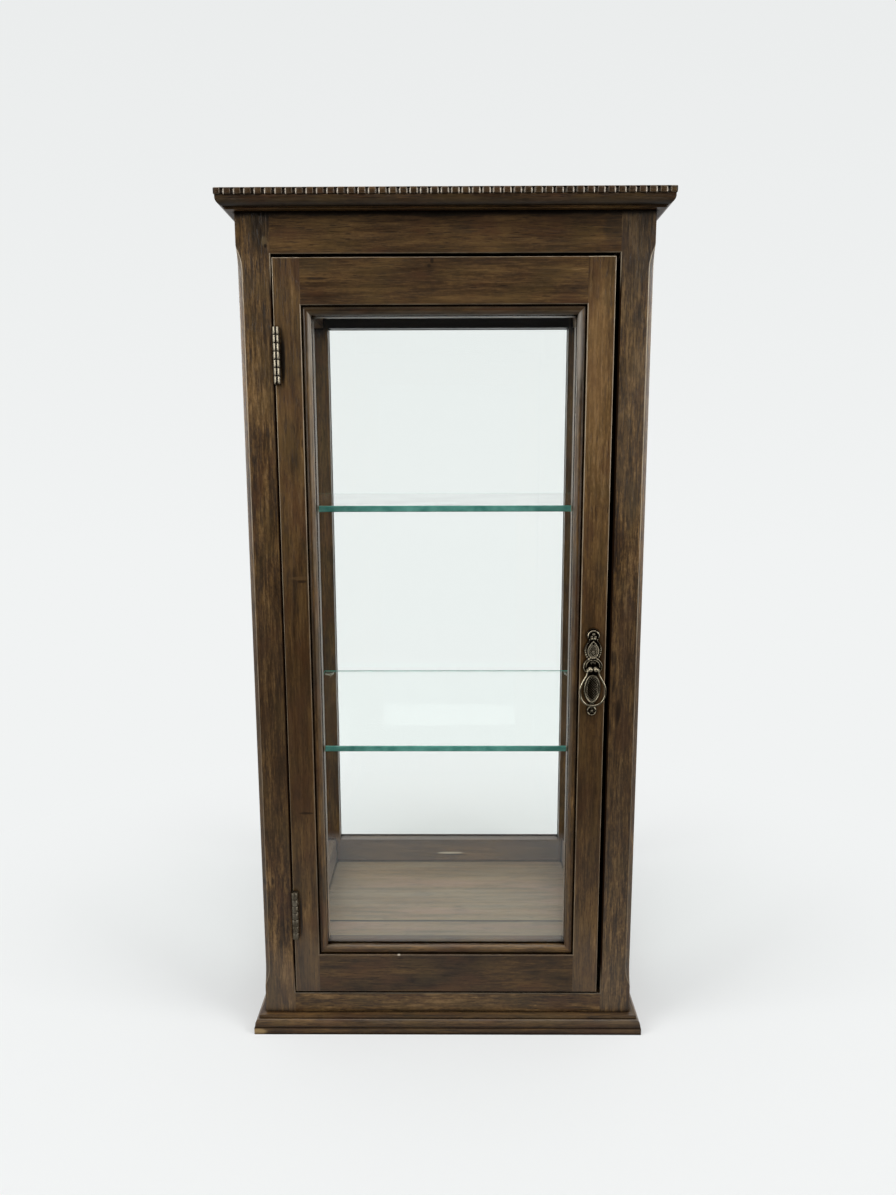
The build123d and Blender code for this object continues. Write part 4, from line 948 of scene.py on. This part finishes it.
def flat_plate(outline, holes, thick, ease):
    """A flat plate from an outline and round holes (x, y, radius), centred in its thickness; millimetres."""
    curve = bpy.data.curves.new("plate", "CURVE")
    curve.dimensions = "2D"
    curve.fill_mode = "BOTH"
    for ring in [outline] + [circle(*hole, 32) for hole in holes]:
        spline = curve.splines.new("POLY")
        spline.points.add(len(ring) - 1)
        spline.points.foreach_set("co", [v for x, y in ring for v in (x * MM, y * MM, 0.0, 1.0)])
        spline.use_cyclic_u = True
    curve.extrude = (thick / 2 - ease) * MM
    curve.bevel_depth = ease * MM
    curve.offset = -ease * MM
    curve.bevel_resolution = 1
    form = bmesh.new()
    form.from_mesh(settled(linked(curve)))
    return closed_mesh(form, merge=1e-6)


def rounded_outline(x0, y0, x1, y1, corners):
    """A rectangle's outline; each corner, from (x1, y1) anticlockwise, has its own radius."""
    points = []
    places = ((x1, y1, 0), (x0, y1, 90), (x0, y0, 180), (x1, y0, 270))
    for (x, y, start), radius in zip(places, corners):
        x += -radius if start in (0, 270) else radius
        y += -radius if start in (0, 90) else radius
        points += arc(x, y, radius, radius, range(start, start + 91, 15) if radius > 0 else (start,))
    return points


class DISPLAYCASE_OT_hinges(bpy.types.Operator):
    """Roll the two butt hinges, their pins and screws"""
    bl_idname = "display_case.hinges"
    bl_label = "Hinges"

    def execute(self, context):
        look = context.scene.case_metal
        leaf, gap = look.leaf / MM, look.knuckle_gap / MM
        screw_reach, screw_head, bore = 10.5, 2.0, 1.06
        sides = (("post", -1, CASE, 0), ("door", 1, DOOR, 1))
        # Thin nickel over brass, rubbed through to a warm grey; the lower hinge is browner
        for place, wear in (("upper", (0.004, 0.25, 0.30)), ("lower", (0.006, 0.38, 0.95))):
            metal = aged_metal("brass_nickel_plated_" + place, look.brass, look.tarnish, *wear)
            pin = "hinge_" + place + "_pin"
            low, high = box_mm(pin)
            axis = (low + high) / 2
            tall = (high.z - low.z - (look.knuckles - 1) * gap) / look.knuckles
            for role, side, body, first in sides:
                node = "hinge_" + place + "_" + role + "_leaf"
                box = box_mm(node)
                radius = (box[1].x - box[0].x) / 2
                plate_front = axis.y + radius + 0.3
                knuckles = in_rows(
                    rolled_knuckle(side, radius, bore, leaf, plate_front - axis.y + 0.4, tall), metal,
                    (axis.x, axis.y, low.z + first * (tall + gap) + tall / 2),
                    len(range(first, look.knuckles, 2)), (0, 0, 2 * (tall + gap)))
                screw_y = middle_mm("hinge_screws_" + role).y
                holes = [(screw_y, axis.z + way * screw_reach, screw_head + 0.06) for way in (-1, 1)]
                plate = flat_plate(rounded_outline(plate_front, low.z, box[1].y, high.z, (2.0, 0, 0, 2.0)),
                                   holes, leaf, 0.1)
                # The plate is drawn in (y, z) and stood up in the plane of its leaf
                plate.transform(Matrix(((0, 0, 1, 0), (1, 0, 0, 0), (0, 1, 0, 0), (0, 0, 0, 1))))
                placed(plate, (axis.x + side * (radius - leaf / 2), 0, 0))
                name = "hinge_" + place + "_" + role + "_rolled"
                piece(name, joined(knuckles, plate), metal, body, node, 40)
            half = (high.z - low.z) / 2
            rod = lathe([(0, -half), (0.7, -half), (1.0, 0.3 - half), (1.0, half - 0.3), (0.7, half),
                         (0, half)], 24)
            piece(pin + "_turned", placed(rod, axis), metal, CASE, pin)
        upper, lower = middle_mm("hinge_upper_pin").z, middle_mm("hinge_lower_pin").z
        # Turned brass with the same thin plating, so a dull warm grey
        plated = aged_metal("brass_screws", look.brass, look.tarnish, 0.003, 0.3, 0.6)
        for role, side, body, _ in sides:
            node = "hinge_screws_" + role
            face = box_mm(node)[1 if side < 0 else 0].x
            screw = placed(slotted_screw(screw_head, 1.0, 1.0, 10.0), (0, 0, 0), -90 * side, "Y")
            screws = in_rows(screw, plated, (face, middle_mm(node).y, lower - screw_reach),
                             2, (0, 0, 2 * screw_reach), 2, (0, 0, upper - lower))
            piece(node + "_slotted", screws, plated, body, node, 40)
        return {"FINISHED"}


class DISPLAYCASE_OT_supports(bpy.types.Operator):
    """Stamp the spoon-shaped pins that carry the shelves"""
    bl_idname = "display_case.supports"
    bl_label = "Shelf supports"

    def execute(self, context):
        # Pressed steel, nickel-plated: warm white and smooth, a little clouded
        nickel = aged_metal("steel_nickel_plated", context.scene.case_metal.nickel, linear("#8a857b"),
                            0.005, 0.26, 0.4)
        front, rear = box_mm("front_post_left")[1].y, box_mm("back_post_left")[0].y
        tongue_half, drop = 4.0, 2.5
        for place in ("upper", "lower"):
            node = "shelf_supports_" + place
            low, high = box_mm(node)
            across = (high.x - low.x) / 2 - tongue_half
            # Pin and collar, then the tongue with its rounded end under the glass, and the rib below it
            pin = lathe([(0, 8.0), (2.0, 8.0), (2.5, 7.4), (2.5, 0), (3.2, 0), (3.5, -0.3), (3.5, -0.9),
                         (3.2, -1.2), (0, -1.2)], 32)
            tongue = flat_plate(rounded_outline(-tongue_half, 0.6, tongue_half, 14, (4, 4, 0.4, 0.4)),
                                [], 1.6, 0.3)
            stamped = joined(placed(pin, (0, 0, 0), 90), placed(tongue, (0, 0, drop - 0.8)),
                             placed(rounded_block((1.6, 10.0, 1.8), 0.3, 2), (0, 5.4, drop - 2.2)))
            made = in_rows(stamped, nickel, (-across, front, box_mm("shelf_" + place)[0].z - drop), 2,
                           (2 * across, 0, 0), 2, (0, rear - front, 0), turn=math.pi)
            piece(node + "_stamped", made, nickel, CASE, node, 40)
        return {"FINISHED"}


class DISPLAYCASE_OT_catch(bpy.types.Operator):
    """Finish the magnetic catch, its strike and their screws"""
    bl_idname = "display_case.catch"
    bl_label = "Catch"

    def execute(self, context):
        zinc = zinc_plated("steel_zinc_plated")
        dress(["catch_strike"], zinc)
        # Sintered ferrite, ground flat: a dull charcoal grey
        ferrite = aged_metal("ferrite_ground", linear("#55555a"), linear("#2c2c30"), 0.002, 0.45, 0.5)
        dress(["catch_magnet"], ferrite)
        brown = moulded_plastic("polypropylene_brown", linear("#3a281c"), linear("#2f2016"))
        dress(["catch_housing"], brown)
        head = 2.0
        for node, count, depth, body in (("catch_screws", 2, 1.0, CASE), ("strike_screw", 1, 0.7, DOOR)):
            low, high = box_mm(node)
            screw = placed(slotted_screw(head, depth, 1.0, high.y - low.y), (0, 0, 0), -90)
            made = in_rows(screw, zinc, (low.x + head, high.y, (low.z + high.z) / 2), count,
                           (high.x - low.x - 2 * head, 0, 0))
            piece(node + "_slotted", made, zinc, body, node, 40)
        return {"FINISHED"}


# ---------------------------------------------------------------- handle
# The casting's ovals from crest to foot, all in millimetres from the pivot: height, half width, half height
OVALS = ((25.0, 4.8, 4.6), (14.5, 6.3, 9.0), (1.8, 7.1, 6.6), (-14.8, 6.2, 10.8), (-31.2, 3.7, 3.7))
MEDALLION, LOWER_OVAL = OVALS[1], OVALS[3]


def outline_half_width(v):
    """Half the casting's width at each height from the pivot, in millimetres."""
    widest = np.where(np.abs(v + 26.5) < 2.6, 1.5, 0.02)
    for centre, half_w, half_h in OVALS:
        t = np.clip((v - centre) / half_h, -1, 1)
        # The medallion comes to a soft point at the top
        pointed = (centre == MEDALLION[0]) & (t > 0)
        bow = np.where(pointed, (1 - np.abs(t) ** 1.7) ** 0.85, np.sqrt(1 - t ** 2))
        widest = np.maximum(widest, half_w * bow)
    return widest


def oval_depth(u, v, centre, half_w, half_h):
    """How far inside an oval a point lies, near enough, in millimetres; negative outside."""
    level = np.sqrt((u / half_w) ** 2 + ((v - centre) / half_h) ** 2) + 1e-6
    slope = np.sqrt((u / half_w ** 2) ** 2 + ((v - centre) / half_h ** 2) ** 2) / level + 1e-6
    return np.minimum((1 - level) / slope, min(half_w, half_h))


def to_line(u, v, line):
    """Distance from each point to a line given as points."""
    best = np.full(u.shape, 1e9)
    for (ax, ay), (bx, by) in zip(line, line[1:]):
        dx, dy = bx - ax, by - ay
        t = np.clip(((u - ax) * dx + (v - ay) * dy) / (dx * dx + dy * dy + 1e-9), 0, 1)
        best = np.minimum(best, np.hypot(u - ax - t * dx, v - ay - t * dy))
    return best


def ridge(distance, half_width, height):
    """Section of a rounded ridge whose centre line is `distance` away."""
    return height * np.sqrt(np.clip(1 - (distance / half_width) ** 2, 0, 1))


def casting_relief(u, v):
    """Height of the ornament over the plate's flat, in millimetres: crest, medallion, scrolled shoulders,
    rimmed oval and rosette, as modelled for the foundry."""
    side = np.abs(u)
    # Crest: an arch over a three-lobed bud
    raised = [ridge(to_line(side, v, arc(0, 24.0, 4.0, 4.1, range(-8, 95, 6))), 0.62, 0.95)]
    lobes = ((0, 25.6, 1.1), (1.3, 23.6, 1.0), (0, 22.0, 0.8))
    raised += [ridge(np.hypot(side - x, v - y), r, 0.75 * r) for x, y, r in lobes]
    # Medallion: a corded border, a smooth pointed band and a floret on a pitted ground
    turn = np.arctan2(v - 14.0, u)
    border = arc(0, 14.2, 6.3 * 0.90, 8.3, range(-62, 76, 6)) + [(0.0, 22.6)]
    raised.append(ridge(to_line(side, v, border), 0.78, 1.3) * (0.62 + 0.38 * np.cos(turn * 22)))
    band = arc(0, 13.3, 3.8, 5.2, range(-90, 40, 8)) + [(1.9, 18.2), (0.0, 20.4)]
    raised.append(ridge(to_line(side, v, band), 0.52, 1.0) * (0.8 + 0.2 * np.cos(turn * 20)))
    h = np.maximum(np.max(raised, axis=0), 0)
    inside = ((side / 3.7) ** 2 + ((v - 13.2) / 5.6) ** 2) < 1
    floret = np.hypot(u, (v - 12.6) / 1.15)
    petals = 0.55 * np.clip(1 - (floret / 3.2) ** 2, 0, 1) * (0.45 + 0.55 * np.cos(turn * 5 + 1.57))
    ground = 0.28 + 0.48 * np.cos(u * 4.4) * np.cos(v * 4.0)
    h = np.where(inside, np.maximum(h, np.maximum(petals, ground)), h)
    h = np.maximum(h, ridge(np.hypot(u, v - 12.6), 0.8, 0.8))
    # Shoulders: a pair of scrolls that curl in beside the balls, and a leaf over them
    scroll = [(1.2, 8.4), (3.4, 7.3), (5.5, 5.4), (6.4, 2.8), (6.3, 0.2), (5.3, -1.6), (4.1, -1.3),
              (4.2, -0.1)]
    inner_scroll = [(0.8, 6.6), (2.4, 6.1), (3.9, 4.9), (4.8, 3.2), (4.8, 1.6)]
    for points, half, high in ((scroll, 0.55, 1.1), (inner_scroll, 0.45, 1.0)):
        h = np.maximum(h, ridge(to_line(side, v, through([Vector(p) for p in points], 6)), half, high))
    for lift, lean in ((5.0, 0.0), (4.4, 1.3)):
        h = np.maximum(h, ridge(np.hypot(side - lean, (v - lift) / 1.7), 0.75, 0.6))
    # Lower oval: a raised rim round a sunk, hammered field
    depth = oval_depth(u, v, *LOWER_OVAL)
    below = v < -3.2
    h = np.where(below, np.maximum(h, ridge(depth - 0.95, 0.72, 1.05)), h)
    h = np.where(below & (depth > 1.7), 0.05 + 0.05 * u + 0.55 * np.cos(u * 3.3) * np.cos(v * 3.3), h)
    # Neck and rosette foot
    h = np.maximum(h, np.where(np.abs(v + 27.0) < 1.6, 0.35 + 0.25 * np.cos((v + 27.0) * 5.0), 0))
    foot = np.hypot(u, v + 31.2)
    h = np.maximum(h, ridge(foot - 3.05, 0.5, 0.75))
    spokes = np.abs(np.cos(np.arctan2(v + 31.2, u) * 3))
    h = np.where(foot < 2.5, 0.55 * spokes * np.clip(np.sin(foot / 2.5 * math.pi), 0, 1), h)
    return np.maximum(h, ridge(foot, 0.75, 0.8))


def cast_plate(centre_x, centre_z, rear, thick):
    """The casting's relief as a closed shell on the door's face."""
    rows, columns = 360, 72
    foot, crest = -34.88, 29.58
    v, t = np.meshgrid(np.linspace(foot, crest, rows), np.linspace(-1, 1, columns), indexing="ij")
    u = t * outline_half_width(v)
    # The casting's outer edge rolls down to the door
    near_edge = np.clip((1 - np.abs(t)) * outline_half_width(v) / 0.45, 0, 1)
    drop = 0.75 * (1 - np.sqrt(1 - (1 - near_edge) ** 2))
    face = rear - thick - casting_relief(u, v) * np.clip(near_edge * 1.5, 0, 1) + drop
    front, flat = (np.stack([u + centre_x, y, v + centre_z], -1).reshape(-1, 3)
                   for y in (face, np.full(u.shape, rear)))
    count = rows * columns
    quads = [(a, a + 1, a + columns + 1, a + columns)
             for r in range(rows - 1) for a in range(r * columns, (r + 1) * columns - 1)]
    ring = [*range(columns), *range(2 * columns - 1, count, columns),
            *range(count - 2, count - columns - 1, -1), *range(count - 2 * columns, 0, -columns)]
    quads += [(b, a, a + count, b + count) for a, b in zip(ring, ring[1:] + ring[:1])]
    quads.append(tuple(i + count for i in ring))
    used = sorted({i for q in quads for i in q})
    order = {old: new for new, old in enumerate(used)}
    points = np.concatenate([front, flat])[used] * MM
    mesh = bpy.data.meshes.new("casting")
    mesh.from_pydata(points.tolist(), [], [tuple(order[i] for i in q) for q in quads])
    form = bmesh.new()
    form.from_mesh(mesh)
    return closed_mesh(form, merge=2e-6)


class DISPLAYCASE_OT_handle(bpy.types.Operator):
    """Cast the drop handle's backplate and bend its ring"""
    bl_idname = "display_case.handle"
    bl_label = "Drop handle"

    def execute(self, context):
        look = context.scene.case_metal
        rear = box_mm("door_stile_handle")[0].y
        thick, ball, ball_aside = 1.6, 1.7, 1.9
        flat = rear - thick
        # Zinc alloy, die-cast and bronzed: nearly black in the hollows, bare and pale where hands rub it
        bronze = aged_metal("zinc_alloy_bronzed", look.bronze, look.patina, 0.0022, 0.22, 0.30, 0.8,
                            (flat - 0.35, flat - 0.75))
        bright = aged_metal("zinc_alloy_bronzed_rubbed", look.bronze, look.patina, 0.003, 0.20, 0.30, 0.4)
        centre_x = middle_mm("handle_backplate").x
        pivot_y, pivot_z = middle_mm("handle_bail").y, box_mm("handle_backplate")[1].z - 29.6
        parts = [cast_plate(centre_x, pivot_z, rear, thick)]
        # Boss behind the plate, let into the stile
        boss = lathe([(0, 0.2), (2.5, 0.2), (2.5, -4.6), (2.1, -5.0), (0, -5.0)], 32)
        parts.append(placed(boss, (centre_x, rear, pivot_z), 90))
        # Balls on short collared stems hold the ring's ends
        reach = flat - pivot_y
        profile = [(0, -0.6), (1.9, -0.6), (1.9, 0.15), (1.5, 0.5), (1.15, 0.7),
                   *arc(0, reach, ball, ball, range(-48, 90, 9)), (0, reach + ball)]
        for side in (-1, 1):
            parts.append(placed(lathe(profile, 28), (centre_x + side * ball_aside, flat, pivot_z), 90))
        # Beads follow the rims of the two large ovals: height, half width, half height, count and bead size
        for height, half_w, half_h, count, size in ((LOWER_OVAL[0], 3.9, 8.4, 26, 0.46),
                                                    (MEDALLION[0] - 1.1, 2.6, 4.0, 18, 0.34)):
            bead = lathe([(0, -size), (size * 0.75, -size * 0.66), (size, 0), (size * 0.75, size * 0.66),
                          (0, size)], 8)
            parts.append(worked(beading_tree, bead, {
                "Centre": metres(centre_x, flat - 0.45, pivot_z + height), "Half width": half_w * MM,
                "Half height": half_h * MM, "Count": count, "Material": bronze}))
        piece("handle_backplate_cast", joined(*parts), bronze, DOOR, "handle_backplate",
              60)

        # Half of the ring's line from its end in a ball to its lowest point, then mirrored
        half = [Vector((x, pivot_y, z)) for x, z in (
            (0.6, 0.0), (2.2, 0.0), (3.2, -0.15), (3.85, -0.9), (4.1, -2.4), (4.7, -4.4), (6.0, -6.8),
            (7.6, -9.8), (8.8, -13.0), (9.15, -16.2), (8.8, -19.6), (7.5, -22.8), (5.2, -25.2), (2.6, -26.4),
            (0.0, -26.8))]
        line = through(half, 6)
        line += [Vector((-p.x, p.y, p.z)) for p in reversed(line[:-1])]
        place = Vector((centre_x, 0, pivot_z))
        # The rod swells from its ends towards the foot of the ring
        radii = [0.60 + 0.12 * min(1, max(0, -p.z - 4) / 20) for p in line]
        ring = wire([p + place for p in line], radii, 20)
        piece("handle_ring_bent", ring, bright, BAIL, "handle_bail", 60)

        node = "handle_screw"
        low, high = box_mm(node)
        middle, long = middle_mm(node), high.y - low.y
        screw = lathe([(0, 0), (1.6, -0.08), (2.5, -0.5), (3.0, -1.2), (3.0, -1.8), (1.5, -1.8),
                       (1.5, -long), (0, -long)], 32)
        placed(screw, (middle.x, high.y, middle.z), -90)
        zinc = zinc_plated("steel_zinc_plated_handle_screw")
        piece(node + "_turned", screw, zinc, DOOR, node)
        return {"FINISHED"}


# ---------------------------------------------------------------- studio
def ray_kinds(add, studio):
    """Three sources: whether a ray comes straight from the camera or through panes alone, whether it was
    mirrored, and the gain that makes up for what the panes hold back."""
    path = add("LightPath").outputs
    mirrored = add("Math GREATER_THAN", path["Glossy Depth"], 0.5)
    straight = add(LARGER, path["Is Camera Ray"], add(LESS, path["Is Transmission Ray"], mirrored))
    gain = add(RAMP, path["Transmission Depth"], 0.0, 6.0, 1.0, studio.pane_gain, clamp=False)
    return straight, mirrored, gain


def backdrop_material(studio):
    """White paper sweep. It keeps the case's shadow, fades to an even white further out, and ends a
    little in front of the case, where a dim room shows in reflections."""
    material, add = new_material("paper_sweep_white")
    place = add("TexCoord").outputs["Object"]
    away = add("VectorMath LENGTH", add("VectorMath ADD", place, (0.0, 0.10, 0.0)))
    straight, mirrored, gain = ray_kinds(add, studio)
    far = add(LARGER, add(TIMES, add(SMOOTH, away, 0.18, 0.62, 0.35), straight), mirrored)
    path = add("LightPath").outputs
    shade = add(BLEND, {0: path["Is Diffuse Ray"], 6: studio.paper, 7: studio.bounce})
    paper = add("BsdfDiffuse", {"Color": shade, "Roughness": 0.8})
    blurred = add(LESS, mirrored, path["Is Singular Ray"], use_clamp=True)
    dimmed = add(RAMP, blurred, 0.0, 1.0, 1.0, studio.mirrored_floor)
    white = add("Emission", {"Color": studio.backdrop, "Strength": add(TIMES, gain, dimmed)})
    near = add("MixShader", far, paper, white)
    beyond = add(RAMP, add("SeparateXYZ", place).outputs["Y"], -0.450, -0.475)
    hidden = add(TIMES, beyond, add(LESS, 1.0, straight))
    room = add("Emission", {"Color": linear("#1c1c1e"), "Strength": 1.0})
    add("OutputMaterial", add("MixShader", hidden, near, room))
    return material


def room_world(studio):
    """Even light for the object; a white wall behind it and a darker room in front show in gloss."""
    world = bpy.data.worlds.new("soft_room")
    world.use_nodes = True
    world.node_tree.nodes.clear()
    add = partial(add_node, world.node_tree)
    aside, depth, height = add("SeparateXYZ", add("TexCoord").outputs["Generated"]).outputs
    front = add(SMOOTH, depth, -0.80, -0.30, 0.04, 0.9)
    # A tall window on each side of the camera, seen only in polished and rounded surfaces
    sideways = add("Math ABSOLUTE", aside)
    window = add(TIMES, add(SMOOTH, sideways, 0.60, 0.68, 0.0, studio.windows),
                 add(SMOOTH, sideways, 0.80, 0.94, 1.0, 0.1))
    opening = add(TIMES, add(RAMP, height, -0.25, 0.0), add(RAMP, height, 0.45, 0.60, 1.0, 0.0))
    as_wall = add(RAMP, add("LightPath").outputs["Is Singular Ray"], 0.0, 1.0, 1.0, 1.3)
    around = add(PLUS, add(TIMES, front, as_wall), add(TIMES, window, opening))
    even = add(RAMP, depth, -0.9, 0.0, studio.world * 0.5, studio.world)
    straight, mirrored, gain = ray_kinds(add, studio)
    light = add("Background", {"Color": (1.0, 1.0, 1.0, 1.0), "Strength": even})
    mirror = add("Background", {"Color": studio.backdrop, "Strength": around})
    graded = add(TIMES, gain, add(RAMP, height, -0.1, 0.55, 1.0, 0.93))
    wall = add("Background", {"Color": studio.backdrop, "Strength": graded})
    add("OutputWorld", add("MixShader", straight, add("MixShader", mirrored, light, mirror), wall))
    return world


def softbox(name, place, aim, size, power, mirrored):
    lamp = bpy.data.lights.new(name, "AREA")
    lamp.shape = "RECTANGLE"
    lamp.size, lamp.size_y = size
    lamp.energy = power
    holder = linked(lamp)
    holder.name = name
    holder.location = place
    holder.rotation_euler = (Vector(aim) - Vector(place)).to_track_quat("-Z", "Y").to_euler()
    holder.visible_glossy = mirrored


class DISPLAYCASE_OT_stage(bpy.types.Operator):
    """Set up the floor, the soft light and the camera"""
    bl_idname = "display_case.stage"
    bl_label = "Studio"

    def execute(self, context):
        scene = context.scene
        studio = scene.case_studio
        form = bmesh.new()
        bmesh.ops.create_circle(form, cap_ends=True, segments=96, radius=4.0)
        floor = linked(mesh_of(form))
        floor.name = "sweep"
        floor.data.materials.append(backdrop_material(studio))
        scene.world = room_world(studio)

        softbox("softbox_top", (0.0, -0.25, 1.7), (0, 0, 0.3), (1.6, 1.2), studio.lamp, True)
        softbox("softbox_left", (-1.4, -0.8, 1.15), (0, 0, 0.4), (0.9, 1.3), studio.lamp, False)
        softbox("softbox_right", (1.4, -0.8, 1.15), (0, 0, 0.4), (0.9, 1.3), studio.lamp, False)

        lens = bpy.data.cameras.new("camera")
        lens.sensor_width = 36
        lens.lens = studio.lens
        lens.clip_start = 0.01
        camera = linked(lens)
        camera.name = "camera"
        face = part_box("front_post_left")[0].y
        turn = (Matrix.Rotation(studio.heading, 4, "Z")
                @ Matrix.Rotation(math.pi / 2 - studio.pitch, 4, "X")
                @ Matrix.Rotation(-studio.roll, 4, "Z"))
        stand = Matrix.Translation((studio.aside, face - studio.distance, studio.height))
        camera.matrix_world = stand @ turn
        scene.camera = camera
        scene.view_settings.view_transform = "Standard"
        return {"FINISHED"}


# ---------------------------------------------------------------- panel and registration
OPERATORS = (DISPLAYCASE_OT_case_wood, DISPLAYCASE_OT_dentils, DISPLAYCASE_OT_door_wood, DISPLAYCASE_OT_glass,
             DISPLAYCASE_OT_hinges, DISPLAYCASE_OT_supports, DISPLAYCASE_OT_catch, DISPLAYCASE_OT_handle,
             DISPLAYCASE_OT_stage)


class DISPLAYCASE_PT_panel(bpy.types.Panel):
    """Sidebar panel of the display case"""
    bl_label = "Display case"
    bl_idname = "DISPLAYCASE_PT_panel"
    bl_space_type = "VIEW_3D"
    bl_region_type = "UI"
    bl_category = "Display case"

    def draw(self, context):
        for operator in OPERATORS:
            self.layout.operator(operator.bl_idname)
        for name, group in SETTINGS.items():
            box = self.layout.box()
            box.label(text=group.__doc__)
            for key in group.__annotations__:
                box.prop(getattr(context.scene, name), key)


def register():
    for group in (*SETTINGS.values(), *OPERATORS, DISPLAYCASE_PT_panel):
        bpy.utils.register_class(group)
    for name, group in SETTINGS.items():
        setattr(bpy.types.Scene, name, PointerProperty(type=group))


def unregister():
    for name in SETTINGS:
        delattr(bpy.types.Scene, name)
    for group in (DISPLAYCASE_PT_panel, *reversed(OPERATORS), *reversed(SETTINGS.values())):
        bpy.utils.unregister_class(group)


def main():
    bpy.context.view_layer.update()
    register()
    for operator in OPERATORS:
        family, name = operator.bl_idname.split(".")
        if getattr(getattr(bpy.ops, family), name)() != {"FINISHED"}:
            raise RuntimeError(operator.bl_label + " did not finish")


if __name__ == "__main__":
    main()
